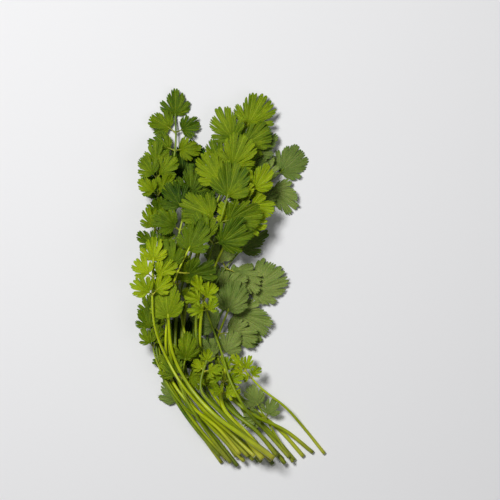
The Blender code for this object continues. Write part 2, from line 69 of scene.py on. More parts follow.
STEMS = tuple(LeafyStem(*row) for row in (
    ("right_low", 3.4, 26, 0, 60, 0.5, "deep",
     ((38, -139), (20, -119), (6, -98), (-4, -78), (-2, -58), (6, -51))),
    ("left_low", 2.8, 20, 0, 60, 0.6, "deep",
     ((-8, -142), (-22, -123), (-31, -110), (-36, -99), (-42, -94))),
    ("hidden_low", 2.8, 23, 1, 60, 0.6, "dark",
     ((-2, -141), (-16, -122), (-28, -105), (-36, -86), (-40, -68), (-38, -54))),
    ("hidden_left", 3.0, 26, 1, 60, 0.6, "dark",
     ((20, -141), (4, -122), (-14, -103), (-33, -80), (-45, -50), (-49, 0), (-45, 40),
      (-40, 64), (-37, 75))),
    ("right_bulge", 3.8, 30, 1, 60, 0.5, "deep",
     ((47, -140), (29, -119), (8, -98), (-9, -76), (-13, -50), (-8, -28), (2, -17), (14, -12))),
    ("right_wing", 3.4, 24, 2, 48, 0.7, "deep",
     ((31, -143), (14, -122), (-8, -103), (-24, -78), (-29, -40), (-22, 0), (-2, 38), (20, 64),
      (37, 79))),
    ("crown_right", 3.2, 22, 1, 55, 0.7, "deep",
     ((22, -141), (5, -123), (-14, -106), (-32, -80), (-38, -45), (-32, 0), (-15, 45), (4, 78),
      (16, 93))),
    ("top_left", 3.4, 20, 2, 62, 0.7, "fresh",
     ((4, -144), (-12, -124), (-29, -104), (-45, -78), (-53, -45), (-55, 0), (-51, 50),
      (-44, 90), (-41, 108), (-43, 122))),
    ("left_edge_top", 2.8, 18, 2, 35, 0.9, "fresh",
     ((-4, -139), (-20, -121), (-37, -98), (-52, -70), (-59, -30), (-60, 20), (-56, 60),
      (-57, 86))),
    ("left_edge_middle", 2.8, 18, 2, 40, 0.9, "fresh",
     ((-9, -136), (-25, -118), (-41, -96), (-55, -68), (-58, -35), (-57, 0), (-56, 28),
      (-55, 46))),
    ("left_edge_low", 2.6, 17, 2, 30, 0.9, "fresh",
     ((3, -137), (-9, -119), (-26, -107), (-37, -97), (-48, -82), (-57, -66), (-60, -48),
      (-61, -30))),
    ("centre_grey", 3.2, 26, 2, 60, 0.6, "deep",
     ((40, -142), (22, -121), (1, -101), (-14, -76), (-19, -40), (-13, -10), (-4, 9), (7, 20))),
    ("top_centre", 3.4, 28, 2, 48, 0.7, "fresh",
     ((16, -139), (0, -123), (-18, -105), (-36, -80), (-43, -45), (-36, 0), (-21, 45),
      (-2, 88), (12, 114))),
    ("middle_dark", 3.2, 25, 2, 55, 0.8, "dark",
     ((9, -140), (-8, -122), (-26, -102), (-42, -76), (-48, -40), (-44, 5), (-37, 42),
      (-31, 62))),
    ("lower_grey", 3.4, 26, 2, 55, 0.6, "deep",
     ((54, -137), (36, -117), (14, -99), (-5, -78), (-12, -58), (-8, -42), (-3, -26))),
    ("foot_leaf", 2.4, 17, 1, 55, 0.8, "deep",
     ((46, -141), (35, -124), (27, -110), (19, -97))),
    ("fine_right", 2.8, 10, 2, 60, 1.2, "pale",
     ((70, -135), (58, -120), (47, -106), (38, -97), (29, -90), (20, -83), (11, -75), (6, -67))),
    ("bright_top", 3.0, 26, 1, 55, 0.7, "fresh",
     ((12, -136), (-3, -121), (-20, -104), (-34, -80), (-37, -42), (-28, 5), (-13, 50),
      (0, 82))),
    ("bright_right", 3.2, 23, 2, 50, 0.7, "pale",
     ((29, -140), (14, -121), (-5, -102), (-20, -78), (-24, -40), (-16, 0), (2, 38), (17, 66))),
    ("bright_fan", 3.4, 29, 2, 62, 0.7, "fresh",
     ((34, -136), (21, -119), (1, -103), (-14, -84), (-24, -62), (-27, -32), (-21, 2), (-10, 36),
      (-3, 60))),
    ("middle_left", 3.2, 22, 2, 60, 0.8, "fresh",
     ((61, -134), (45, -120), (30, -112), (17, -105), (-1, -92), (-18, -76), (-33, -50),
      (-40, -18), (-42, 8))),
    ("dark_fan", 3.2, 26, 1, 62, 0.7, "dark",
     ((6, -134), (-8, -117), (-20, -107), (-31, -97), (-42, -86), (-49, -62), (-48, -30),
      (-41, 2), (-32, 20))),
    ("big_curly", 3.0, 21, 1, 65, 1.3, "fresh",
     ((-1, -141), (-14, -124), (-25, -108), (-33, -93), (-39, -80), (-39, -70), (-35, -62))),
    ("thick_stub", 5.2, 13, 2, 60, 1.4, "pale",
     ((23, -137), (9, -119), (-1, -108), (-6, -100), (-9, -90), (-8, -79), (-5, -70))),
    ("curly_pair", 2.8, 13, 2, 70, 1.4, "pale",
     ((43, -137), (27, -119), (17, -109), (9, -97), (3, -86), (-3, -74), (-9, -54), (-15, -38),
      (-20, -24), (-24, -10))),
    ("kinked", 4.2, 12, 1, 60, 1.2, "pale",
     ((27, -133), (12, -121), (-1, -110), (-9, -100), (-17, -91), (-25, -81), (-23, -72),
      (-19, -63))),
    ("creased_leaf", 4.4, 24, 0, 50, 0.6, "fresh",
     ((31, -136), (13, -122), (2, -115), (-8, -107), (-17, -99), (-29, -86), (-38, -72),
      (-44, -58), (-47, -42), (-47, -30))),
    ("front_left", 3.0, 18, 2, 50, 0.9, "pale",
     ((17, -135), (3, -122), (-9, -112), (-22, -99), (-34, -85), (-44, -70), (-52, -54),
      (-57, -38), (-59, -8), (-58, 12))),
))

# Where the routes' zero lies from the middle of the bunch, in millimetres
MIDDLE = np.array([-2.31856108, -1.89170986, 0.0])

# Stalks
JOINT_SPACING = 26.0      # between the points of a stalk's line
STALK_SIDES = 6
TIP_SHARE = 0.42          # the stalk's thickness where its leaf begins, as a share of the cut end's
LEAST_TIP_RADIUS = 0.55
SIDE_STALK_RADIUS = 0.5
SIDE_STALK_REACH = 0.3    # length of a leaflet's own stalk, as a share of the leaflet's length
PAIR_STEP = 0.72          # from one pair of leaflets to the next, as a share of the end leaflet's length
PAIR_SHRINK = 0.1         # each pair lower down is smaller by this share
STALK_IN_BLADE = 0.12     # how far a stalk runs into its leaflet, as a share of the leaflet's length
SHARE_IN_BLADE = 0.7      # the stalk's thickness there, as a share of its thickness at the tip
SIDE_DROP = 0.5           # how far a side leaflet may lie below its stalk's start, as a share of its reach
COURSE_STEP = 4.0         # stretch over which the stalk's course is taken
ROUTE_STEPS = 24          # points worked out between two of a route's points

# Leaflets
BLADE_THICKNESS = 0.8
FAN_HALF_ANGLE = math.radians(105)
FAN_NARROWING = 0.75      # the fan's edge falls off as the cosine of this share of the angle
TOOTH_CUT = 0.1
LOBE_CUT = 0.42
HEEL = 0.07               # radius of the small round heel behind the leaflet's base
CORE = 0.2                # radius of the flat part round the base, into which the stalk runs
CORE_ANGLES = (-60, 0, 60)
HEEL_ANGLE = 150          # between the leaflet's axis and the core's corners behind its base
RIPPLES = 3               # waves of the blade in each turn round its base
MIDRIB_WIDTH = 0.3        # angle in which the wave dies out toward the midrib
SIZE_RANGE = (0.86, 1.12)
FOLD_RANGE = (-0.12, 0.25)
WAVE_RANGE = (0.03, 0.08)
SPREAD_RANGE = (0.8, 1.2)
FACING_RANGE = 28         # degrees that a side leaflet turns off its own stalk
LARGE_LEAFLET = 23.0
SMALL_LEAFLET = 15.0

# Draping
CELL = 1.0                # of the height grid
GRID_LOW = (-110, -175)
GRID_HIGH = (110, 185)
HALF_CELL = 0.5
CELL_SLACK = 0.75         # how far outside a triangle a cell's middle may lie, in cells
GAP = 0.35                # kept between a new piece and the pile
LEAN_TRIES = (0.0, 0.12, 0.24, 0.36, 0.5)   # slopes that a leaflet tries to lie as low as it can
LEAN_SPREAD = 0.1         # its own random slope
LEAN_COST = 6.0           # how much lower it must lie, in millimetres per unit of slope
DRAPE_ROUNDS = 40
SAMPLE_STEP = 1.5         # between the spots that are tested along a stalk
LEAST_SHARE = 0.04        # a spot this close to the stretch's far end is left to that end
INNER_PART = 0.25         # the share of a side stalk's way that lies beside the main stalk
OUTER_PART = 0.5          # the share from which it is as high as its leaflet's base
BLADE_CLEARANCE = 1.2     # of half the blade's thickness
SINK = 0.25
SEED = 11

# Fine form of the leaflets
TOOTH_COLUMNS = 6
RINGS = (0.16, 0.34, 0.52, 0.68, 0.81, 0.91, 0.97, 1.0)
FINE_TEETH = (2, 5)       # least number of teeth in a segment, and one more than the greatest
TOOTH_JITTER = 0.12       # how far a tooth's start may be off, as a share of a usual tooth
USUAL_TEETH = 2.5         # in a segment
TOOTH_DEPTH = (0.06, 0.11)
SEGMENT_SLIT = (0.1, 0.26)
LOBE_SLIT = (0.06, 0.18)
SEGMENT_SHOULDER = 0.09
LOBE_SHOULDER = 0.3
NOTCH_SHARPNESS = (1.8, 4.5)
SEGMENT_LENGTH = (0.88, 1.05)
DEEPEST_CUT = 0.62
CUTTING_RANGE = (0.85, 1.3)
CUTTING_OF_FLAT = 0.2     # how deep a leaflet without curl is cut
CUTTING_BY_CURL = 0.95    # what its curl adds
FEATHERY_SIZE = 14.0      # leaflets shorter than this are cut deeper
FEATHERY_CUTTING = 1.25
HEEL_COLUMNS = 7
SETTLE_START = 0.5        # share of the way out from which the rings take on the cut edge's shape
EVEN_SHARE = 0.62         # how far the inner rings keep to the uncut fan
INNER_REACH = 0.6         # the least share of the edge's radius that the innermost ring may take
EDGE_THINNING = 0.45      # how much thinner the blade is at its edge
LOWEST = 0.3              # of a leaflet's middle surface above the floor
FREE_ABOVE = 2.5          # a spot is free to curl up when the pile's top is no higher above it than this
ROOM_EASE = 1.5           # stretch of height over which that freedom goes
LEAST_SINK = 0.5          # how far a leaflet's edge may dip
COVERED_RISE = 0.5        # how far it may rise under another
DOME_RANGE = (-0.3, 1.0)  # of a blade's dome or hollow, as a share of its curl
BEND_RANGE = (-0.4, 1.3)  # the same for the bend of a lobe's end
BEND_START = 0.45         # share of the leaflet's length from which a lobe bends
EDGE_WAVE = 0.55          # height of the edge's waves, as a share of its curl
EDGE_WAVES = ((1.0, 5, 2), (0.7, 11, 5))   # height, waves in a turn and how the phase counts
# Pleats: their mark, depth, the powers by which they grow outward and off the midrib, and how much
# of that lies under the solid's surface
PLEATS = (("lobe", 1.0, 1, 1.5, 0.4), ("segment", 0.6, 1.5, 1.5, 0.5), ("tooth", 0.25, 3, 2, 0.5))

# Fine form of the stalks
MIDRIB_RADIUS = 0.25      # of a stalk's tip, where it runs out in a midrib
SIDE_STALK_RADII = (0.75, 0.5, 0.25)
STALK_RIBS = 5
STALK_COLUMNS = 15
STALK_STEP = 3.0
CURVE_STEPS = 8           # of the smooth line between two of the solid's points
LEAST_RINGS = 6
RIB_TWIST = 1.5           # greatest turn of the ribs along a stalk, in radians
STALK_FULLNESS = 0.94     # of the solid's radius
CUT_RIM = 0.8             # radius of the flat cut end, as a share of the stalk's
CUT_HOLLOW = 0.25         # how far the cut end sinks in, as a share of the radius
ALONG_UNIT = 100.0        # the distance mark counts in these, from the cut end
CUT_MARKS = (-0.02, -0.04)   # the distance mark on the cut end's rim and middle
CUT_LIMIT = -0.005        # a point whose distance mark is under this lies on the cut end

# Colours
TOP_LEVEL = 26.0          # painted shade: a leaflet this high in the pile is as light as its height makes it
TOP_STALK_LEVEL = 13.0    # the same for a stalk
# the share of a piece's lightness left to chance; the rest is painted shade by its height in the pile
TONE_BY_CHANCE = 0.55
# Stems that are lighter or darker than where they lie would make them
SHADES = {"fine_right": 0.5, "bright_fan": -0.3, "middle_dark": -0.15}
# Veins: their mark, the angle from one to half way to the next, width, where they start and strength
VEINS = (("lobe", 0.61, 0.7, 0.0, 0.6), ("segment", 0.17, 0.6, 0.12, 0.65), ("tooth", 0.08, 0.5, 0.5, 0.6))
# Painted shade along the creases: their mark, how narrow they are, where they start and strength
CREASE_SHADOWS = (("segment", 8.0, 0.42, 0.9), ("tooth", 5.0, 0.66, 0.8))
# how strong the painted crease shade is on each tone
CREASE_SHADOW_SHARES = {"deep": 0.3, "fresh": 0.75, "pale": 0.75, "dark": 0.6}
VEIN_FADE = 4.0           # how fast a vein comes up from where it starts
# how fast the painted crease shade comes up from where it starts
CREASE_SHADOW_FADE = 3.0
VEIN_WIDTH = 0.02
VEIN_SHARE = 0.75         # how far the veins take on their own colour
CREASE_SHADE = 0.7        # a crease is as dark as this share of the darkest green
SPECKLE_SHADE = 0.5       # the same for the speckles
SPECKLE_SHARE = 0.5
LEAF_BY_TONE_AND_SHADE = 0.9        # how much of a leaf's green its random tone and painted shade by height decide
UNDERSIDE_SHARE = 0.55    # how much of the leaf's own green shows on its underside
UNDERSIDE_ROUGHNESS = 0.12   # what the underside adds
STREAK_SHARE = 0.4
BLUSH_SHARE = 0.35
RAY_SCALE = (70.0, 2.5, 1.0)
STREAK_SCALE = (34.0, 3.0, 1.0)
STREAK_DETAIL = 2.0
BLOTCH_DETAIL = 3.0
GRAIN_DETAIL = 2.0
LEAF_MOTTLE = {"Blotch size": 70.0, "Grain size": 1400.0}
STALK_MOTTLE = {"Blotch size": 45.0, "Grain size": 1100.0}
# Each of these is a factor, and what is added after it
LEAF_BLOTCHES = (1.6, -1.35)
SPECKLES = (2.4, -0.8)
LEAF_ROUGHNESS = (0.3, 0.4)
STALK_BLOTCHES = (1.0, -0.7)
STALK_STREAKS = (2.2, -0.8)
STALK_ROUGHNESS = (0.25, 0.3)
BLUSH_FALL = (-2.6, 1.0)  # along the stalk from its cut end
# Reliefs: what veins and rays add to the grain, and strength and height in metres
VEIN_RELIEF = -1.0
RAY_RELIEF = 1.6
LEAF_RELIEF = (0.8, 0.0006)
STALK_RELIEF = (0.35, 0.0003)
# Other values of the shaders
LEAF_FINISH = {"Specular IOR Level": 0.15, "Subsurface Weight": 0.25,
               "Subsurface Radius": (0.45, 1.0, 0.12), "Subsurface Scale": 0.0012}
STALK_FINISH = {"Specular IOR Level": 0.4, "Subsurface Weight": 0.3,
                "Subsurface Radius": (0.7, 1.0, 0.2), "Subsurface Scale": 0.0015}
FLOOR_FINISH = {"Specular IOR Level": 0.1, "Roughness": 0.9}

# Stage
FLOOR_SIZE = 6
FLOOR_DROP = 0.0002       # keeps the floor's face clear of the lowest leaflets
CAMERA_DISTANCE = 1.5
SENSOR_WIDTH = 36
VIEW_END = 10
PHOTO_WIDTH = 375.0       # what the picture's 500 pixels span, in millimetres
PHOTO_CENTRE = (13.5, 19.5)
PHOTO_LEVEL = 18.0        # height at which that span holds
ROOM_LIGHT = 0.1
LIGHTS = (("key_light", (-0.5, 0.55, 1.4), 0.5, 23.5), ("fill_light", (0.9, -0.5, 1.3), 1.2, 2.5))

Leaflet = namedtuple("Leaflet", "base heading size teeth lobes lean fold wave phase")
Edge = namedtuple("Edge", "angle radius even lobe segment tooth number")


class Pile:
    """The height of everything laid down so far, on a square grid in millimetres."""

    def __init__(self):
        columns = int((GRID_HIGH[0] - GRID_LOW[0]) / CELL) + 1
        rows = int((GRID_HIGH[1] - GRID_LOW[1]) / CELL) + 1
        self.height = np.zeros((columns, rows))

    def cell_of(self, x, y):
        """Grid numbers of the cell that holds each point."""
        i = np.round((np.asarray(x) - GRID_LOW[0]) / CELL).astype(int)
        j = np.round((np.asarray(y) - GRID_LOW[1]) / CELL).astype(int)
        return i, j

    def cells_round(self, x, y, radius):
        """Grid cells that a round stalk of this radius covers at a point, and its half height there."""
        n = int(math.ceil(radius + HALF_CELL))
        middle = self.cell_of(x, y)
        i, j = np.meshgrid(np.arange(-n, n + 1), np.arange(-n, n + 1), indexing="ij")
        i, j = (i + middle[0]).ravel(), (j + middle[1]).ravel()
        away = np.hypot(i * CELL + GRID_LOW[0] - x, j * CELL + GRID_LOW[1] - y) - HALF_CELL
        inside = away < radius
        return (i[inside], j[inside]), np.sqrt(radius ** 2 - np.maximum(away[inside], 0) ** 2)

    def clear_height(self, x, y, radius, on_surface):
        """The least height of a round stalk's middle at a point, clear of the pile under it."""
        cells, half = self.cells_round(x, y, radius)
        under = self.height[cells]
        return float(np.where(under > 0, under + half + GAP, on_surface).max())

    def add_ball(self, point, radius):
        """Raises the pile to the top of a round stalk at this point."""
        cells, half = self.cells_round(point[0], point[1], radius)
        np.maximum.at(self.height, cells, point[2] + half)

    def add_cells(self, cells, tops):
        """Raises the pile to these heights in these cells."""
        np.maximum.at(self.height, cells, tops)

    @property
    def high(self):
        """The greatest height in each cell and the eight round it."""
        wide = np.maximum(self.height, np.maximum(np.roll(self.height, 1, 0), np.roll(self.height, -1, 0)))
        return np.maximum(wide, np.maximum(np.roll(wide, 1, 1), np.roll(wide, -1, 1)))


def cells_under(points, triangles):
    """Grid cells under a set of triangles, with the surface's height over each."""
    found = []
    slack = CELL_SLACK * CELL
    for triangle in triangles:
        a, b, c = points[triangle]
        low = np.minimum(np.minimum(a, b), c)[:2] - slack
        high = np.maximum(np.maximum(a, b), c)[:2] + slack
        i, j = np.meshgrid(*(np.arange(math.ceil((low[n] - GRID_LOW[n]) / CELL),
                                       math.floor((high[n] - GRID_LOW[n]) / CELL) + 1) for n in (0, 1)),
                           indexing="ij")
        x = i * CELL + GRID_LOW[0] - a[0]
        y = j * CELL + GRID_LOW[1] - a[1]
        area = (b[0] - a[0]) * (c[1] - a[1]) - (c[0] - a[0]) * (b[1] - a[1])
        if abs(area) < 1e-6:
            continue
        to_b = (x * (c[1] - a[1]) - (c[0] - a[0]) * y) / area
        to_c = ((b[0] - a[0]) * y - x * (b[1] - a[1])) / area
        longest = max(np.hypot(*(b - a)[:2]), np.hypot(*(c - a)[:2]), np.hypot(*(c - b)[:2]))
        ease = slack * longest / abs(area)
        inside = (to_b > -ease) & (to_c > -ease) & (to_b + to_c < 1 + ease)
        to_b = np.clip(to_b, 0, 1)
        to_c = np.clip(to_c, 0, 1)
        z = a[2] + to_b * (b[2] - a[2]) + to_c * (c[2] - a[2])
        found.append((i[inside], j[inside], z[inside]))
    i, j, z = (np.concatenate(parts) for parts in zip(*found, strict=True))
    return (i, j), z


def curve_through(points, steps):
    """A Catmull-Rom curve through a row of points, in so many steps from each to the next."""
    knots = np.vstack([2 * points[0] - points[1], points, 2 * points[-1] - points[-2]])
    t = np.linspace(0, 1, steps + 1)[:-1, None]
    p0, p1, p2, p3 = (knots[n:len(points) - 1 + n, None] for n in range(4))
    curve = 0.5 * (2 * p1 + (p2 - p0) * t + (2 * p0 - 5 * p1 + 4 * p2 - p3) * t ** 2
                   + (3 * p1 - p0 - 3 * p2 + p3) * t ** 3)
    return np.vstack([curve.reshape(-1, points.shape[1]), points[-1]])


def way_along(line):
    """How far along the line each of its points lies."""
    return np.concatenate([[0], np.cumsum(np.linalg.norm(np.diff(line, axis=0), axis=1))])


def place_on(line, way, at):
    """The places on a line at distances along it, where way holds its own points' distances."""
    return np.stack([np.interp(at, way, column) for column in line.T], axis=-1)


def smooth_line(route, spacing):
    """Evenly spaced points on a smooth curve through the route's own points."""
    line = curve_through(np.array(route, float), ROUTE_STEPS)
    way = way_along(line)
    count = max(3, int(round(way[-1] / spacing)) + 1)
    return place_on(line, way, np.linspace(0, way[-1], count))


def between(first, second, spacing=SAMPLE_STEP):
    """Points from first to second, and each one's share of the way."""
    count = max(2, int(np.linalg.norm(second - first) / spacing) + 1)
    share = np.linspace(0, 1, count)
    return first + (second - first) * share[:, None], share


def draped_heights(pile, line, radii):
    """Heights of a stalk's points that keep each straight stretch between them clear of the pile.

    On bare surface the stalk's flat underside lies at Z 0. All points start as high as the pile's
    highest under the stalk, and sink little by little until some spot beside them would touch.
    """
    flat = math.cos(math.pi / STALK_SIDES)
    spots, shares, least = [], [], []
    for k in range(len(line) - 1):
        places, share = between(line[k], line[k + 1])
        for (x, y), part in zip(places, share, strict=True):
            radius = radii[k] + (radii[k + 1] - radii[k]) * part
            spots.append(k)
            shares.append(part)
            least.append(pile.clear_height(x, y, radius, radius * flat))
    spots, shares, least = np.array(spots), np.array(shares), np.array(least)
    heights = np.full(len(line), least.max())
    for _ in range(DRAPE_ROUNDS):
        for k in range(len(line)):
            lowest = radii[k] * flat
            for stretch, own in ((k - 1, shares), (k, 1 - shares)):
                here = (spots == stretch) & (own > LEAST_SHARE)
                if here.any():
                    other = heights[stretch if stretch < k else k + 1]
                    lowest = max(lowest, ((least[here] - other * (1 - own[here])) / own[here]).max())
            heights[k] += SINK * (lowest - heights[k])
    return heights


def lay_stalk(pile, points, radii):
    """Adds a stalk of straight stretches to the pile."""
    for k in range(len(points) - 1):
        spots, share = between(points[k], points[k + 1], CELL)
        for spot, part in zip(spots, share, strict=True):
            pile.add_ball(spot, radii[k] + (radii[k + 1] - radii[k]) * part)


def teeth_of(size):
    """How many teeth a leaflet of this size has, and how many of them each of its lobes takes."""
    if size >= LARGE_LEAFLET:
        return 11, (3, 5, 3)
    if size >= SMALL_LEAFLET:
        return 9, (3, 3, 3)
    return 7, (2, 3, 2)


def leaflet_outline(leaflet):
    """Angles off the leaflet's axis and radii, round its edge: notch, tooth tip, notch, and so on.

    The fan's radius falls off with the cosine of the angle. The cuts between lobes are deeper than
    those between teeth.
    """
    count = 2 * leaflet.teeth + 1
    angle = np.linspace(-FAN_HALF_ANGLE, FAN_HALF_ANGLE, count)
    radius = leaflet.size * np.cos(FAN_NARROWING * angle)
    cut = np.full(leaflet.teeth + 1, TOOTH_CUT)
    cut[np.cumsum(leaflet.lobes)[:-1]] = LOBE_CUT
    radius[::2] *= 1 - cut
    return angle, radius


def leaflet_core(leaflet):
    """Angles and radii of the flat core's corners, from one side of the heel round to the other."""
    behind = math.radians(HEEL_ANGLE)
    angle = np.concatenate([[-behind], np.radians(CORE_ANGLES), [behind]])
    radius = np.full(len(angle), CORE * leaflet.size)
    radius[[0, -1]] = HEEL * leaflet.size
    return angle, radius


def leaflet_sheet(leaflet):
    """The corners and triangles of the leaflet's middle surface: its core, and the fan round it."""
    edge_angle, edge_radius = leaflet_outline(leaflet)
    core_angle, core_radius = leaflet_core(leaflet)
    points = leaflet_surface(leaflet, np.concatenate([core_angle, edge_angle]),
                             np.concatenate([core_radius, edge_radius]))
    core, edge = len(core_angle), len(edge_angle)
    triangles = [(0, n + 1, n) for n in range(1, core - 1)]
    inner, outer = 0, 0
    while inner < core - 1 or outer < edge - 1:
        next_inner = core_angle[inner + 1] if inner < core - 1 else math.inf
        next_outer = edge_angle[outer + 1] if outer < edge - 1 else math.inf
        if next_inner + core_angle[inner] < next_outer + edge_angle[outer]:
            triangles.append((inner, inner + 1, core + outer))
            inner += 1
        else:
            triangles.append((inner, core + outer + 1, core + outer))
            outer += 1
    return points, np.array(triangles)[:, ::-1]


def leaning(leaflet):
    """The way uphill in the plan, and the sine and cosine of the leaflet's lean."""
    steep = float(np.hypot(*leaflet.lean))
    tilt = math.atan(steep)
    return leaflet.lean / max(steep, 1e-9), math.sin(tilt), math.cos(tilt)


def leaflet_surface(leaflet, angle, radius):
    """Points of the leaflet's middle surface at polar places round its base.

    The blade is folded along its midrib and waved across the fan, both growing with the distance from
    the flat core round its base, and then leans as a whole.
    """
    across = radius * np.sin(angle)
    along = radius * np.cos(angle)
    near_midrib = np.exp(-(angle / MIDRIB_WIDTH) ** 2)
    ripple = np.sin(RIPPLES * angle + leaflet.phase) - math.sin(leaflet.phase) * near_midrib
    lift = leaflet.fold * np.abs(across) + leaflet.wave * radius * ripple
    lift *= np.maximum(0, 1 - CORE * leaflet.size / np.maximum(radius, 1e-9))
    c, s = math.cos(leaflet.heading), math.sin(leaflet.heading)
    flat = np.stack([along * c - across * s, along * s + across * c], axis=-1)
    uphill, sine, cosine = leaning(leaflet)
    rise = flat @ uphill
    moved = flat - ((1 - cosine) * rise + sine * lift)[..., None] * uphill
    z = sine * rise + cosine * lift
    return np.concatenate([moved, z[..., None]], axis=-1) + leaflet.base


def settle_leaflet(pile, leaflet, least):
    """The leaflet as it lies lowest on the pile, no lower than least, and clear of what is under it."""
    half = BLADE_THICKNESS / 2 * BLADE_CLEARANCE
    high = pile.high
    best = None
    for steep in LEAN_TRIES:
        for turn in np.arange(0, 2 * math.pi, math.pi / 4) if steep else (0.0,):
            lean = leaflet.lean + steep * np.array([math.cos(turn), math.sin(turn)])
            trial = leaflet._replace(lean=lean)
            cells, over = cells_under(*leaflet_sheet(trial))
            under = high[cells]
            clear = np.where(under > 0, under + half + GAP, half)
            raised = max(least, float((clear - over).max()))
            rating = raised + over.mean() + LEAN_COST * steep
            if best is None or rating < best[0]:
                best = (rating, trial, raised, cells, over)
    _, trial, raised, cells, over = best
    pile.add_cells(cells, over + raised + half)
    return trial._replace(base=trial.base + np.array([0, 0, raised]))


def new_leaflet(rng, spot, heading, size, curl):
    """A leaflet at a spot of the plan, with its own random form."""
    size = size * rng.uniform(*SIZE_RANGE)
    teeth, lobes = teeth_of(size)
    lean = rng.uniform(-LEAN_SPREAD, LEAN_SPREAD, 2) * (0.5 + curl)
    fold = rng.uniform(*FOLD_RANGE) * (0.4 + curl)
    wave = rng.uniform(*WAVE_RANGE) * curl
    phase = rng.uniform(0, 2 * math.pi)
    return Leaflet(np.array([*spot, 0.0]), heading, size, teeth, lobes, lean, fold, wave, phase)


def into_blade(leaflet):
    """A point on the leaflet's midrib, a little way in from its base."""
    inside = leaflet_surface(leaflet, np.array([0.0]), np.array([STALK_IN_BLADE * leaflet.size]))
    return inside[0]


def least_heights(under, start, spot):
    """The least heights of a side stalk's middle and far end, clear of what lies under its way."""
    places, share = between(start, spot, CELL)
    clear = np.array([under.clear_height(x, y, SIDE_STALK_RADIUS, 0) for x, y in places])
    return clear[share > INNER_PART].max(), clear[share > OUTER_PART].max()


def side_stalk(start, leaflet, least):
    """The short bent stalk from its start on the main stalk into a side leaflet."""
    middle = (start + leaflet.base) / 2
    middle[2] = max(middle[2], least)
    return np.array([start, middle, into_blade(leaflet)])


def grow(stem, number, pile):
    """Lays one leafy stem on the pile: its stalk's points and radii, side stalks and leaflets."""
    rng = np.random.default_rng(SEED + number)
    line = smooth_line(stem.route, JOINT_SPACING)
    share = np.linspace(0, 1, len(line))
    tip = max(LEAST_TIP_RADIUS, TIP_SHARE * stem.thick / 2)
    radii = stem.thick / 2 + (tip - stem.thick / 2) * share
    under = Pile()
    under.height = pile.height.copy()
    stalk = np.column_stack([line, draped_heights(pile, line, radii)])
    lay_stalk(pile, stalk[:-1], radii)

    way = way_along(stalk)
    end_run = line[-1] - line[-2]
    heading = math.atan2(end_run[1], end_run[0])
    end_leaflet = settle_leaflet(pile, new_leaflet(rng, line[-1], heading, stem.size, stem.curl),
                                 stalk[-1][2])
    stalk[-1] = end_leaflet.base
    leaflets, side_stalks = [end_leaflet], []
    for pair in range(1, stem.pairs + 1):
        size = stem.size * (1 - PAIR_SHRINK * pair)
        back = way[-1] - pair * PAIR_STEP * stem.size
        start = place_on(stalk, way, back)
        ahead = place_on(stalk, way, back + COURSE_STEP)
        course = math.atan2(*(ahead - start)[1::-1])
        for side in (-1, 1):
            turn = course + side * math.radians(stem.spread * rng.uniform(*SPREAD_RANGE))
            reach = SIDE_STALK_REACH * size * rng.uniform(*SPREAD_RANGE)
            spot = start[:2] + reach * np.array([math.cos(turn), math.sin(turn)])
            facing = turn + math.radians(rng.uniform(-FACING_RANGE, FACING_RANGE))
            leaflet = new_leaflet(rng, spot, facing, size, stem.curl)
            least_middle, least_end = least_heights(under, start[:2], spot)
            leaflet = settle_leaflet(pile, leaflet, max(least_end, start[2] - SIDE_DROP * reach))
            leaflets.append(leaflet)
            side_stalks.append(side_stalk(start, leaflet, least_middle))
    lay_stalk(pile, stalk[-2:], radii[-2:])
    for points in side_stalks:
        lay_stalk(pile, points, np.full(len(points), SIDE_STALK_RADIUS))
    stalk = np.vstack([stalk, into_blade(end_leaflet)])
    radii = np.append(radii, radii[-1] * SHARE_IN_BLADE)
    return stalk, radii, side_stalks, leaflets


@functools.cache
def bunch_layout():
    """Every leafy stem's stalk, side stalks and leaflets, and the finished pile."""
    pile = Pile()
    laid = {stem.name: grow(stem, number, pile) for number, stem in enumerate(STEMS)}
    return laid, pile


class Shell:
    """Gathers closed surfaces into the arrays of one mesh."""

    def __init__(self):
        self.points, self.faces, self.uvs, self.looks = [], [], [], []
        # one mark holds each piece's random tone together with painted shade by its height in the pile
        self.marks = {name: [] for name in ("tint", "under", "lobe", "segment", "tooth", "along")}
        self.count = 0

    def add(self, points, faces, uv, look, **marks):
        """One closed surface: its points, its faces as rows of four corners (the last one repeated in
        a triangle), a UV place for each point, a material number and marks for each point."""
        self.points.append(points)
        self.faces.append(faces + self.count)
        self.uvs.append(uv)
        self.looks.append(np.full(len(faces), look))
        for name, values in self.marks.items():
            values.append(np.broadcast_to(np.asarray(marks.get(name, 0.0), float), len(points)))
        self.count += len(points)

    def make(self, name, materials):
        """The mesh object, in metres round the middle of the bunch."""
        points = (np.concatenate(self.points) - MIDDLE) * MM
        rows = np.concatenate(self.faces)
        faces = [row[:3] if row[3] == row[2] else row for row in rows.tolist()]
        mesh = bpy.data.meshes.new(name)
        mesh.from_pydata(points.tolist(), [], faces)
        mesh.polygons.foreach_set("material_index", np.concatenate(self.looks).astype(np.int32))
        mesh.polygons.foreach_set("use_smooth", np.ones(len(faces), bool))
        corners = np.empty(len(mesh.loops), np.int32)
        mesh.loops.foreach_get("vertex_index", corners)
        layer = mesh.uv_layers.new(name="UVMap")
        layer.uv.foreach_set("vector", np.concatenate(self.uvs)[corners].astype(np.float32).ravel())
        for mark, values in self.marks.items():
            attribute = mesh.attributes.new(mark, "FLOAT", "POINT")
            attribute.data.foreach_set("value", np.concatenate(values).astype(np.float32))
        for made in materials:
            mesh.materials.append(made)
        mesh.validate()
        piece = bpy.data.objects.new(name, mesh)
        bpy.context.scene.collection.objects.link(piece)
        return piece


def ring_faces(rings, columns, flip=False):
    """Quads between neighbouring rings of points that close round, numbered ring by ring."""
    k, c = np.meshgrid(np.arange(rings - 1), np.arange(columns), indexing="ij")
    k, c = k.ravel(), c.ravel()
    following = (c + 1) % columns
    quads = np.stack([k * columns + c, k * columns + following,
                      (k + 1) * columns + following, (k + 1) * columns + c], axis=1)
    return quads[:, ::-1] if flip else quads


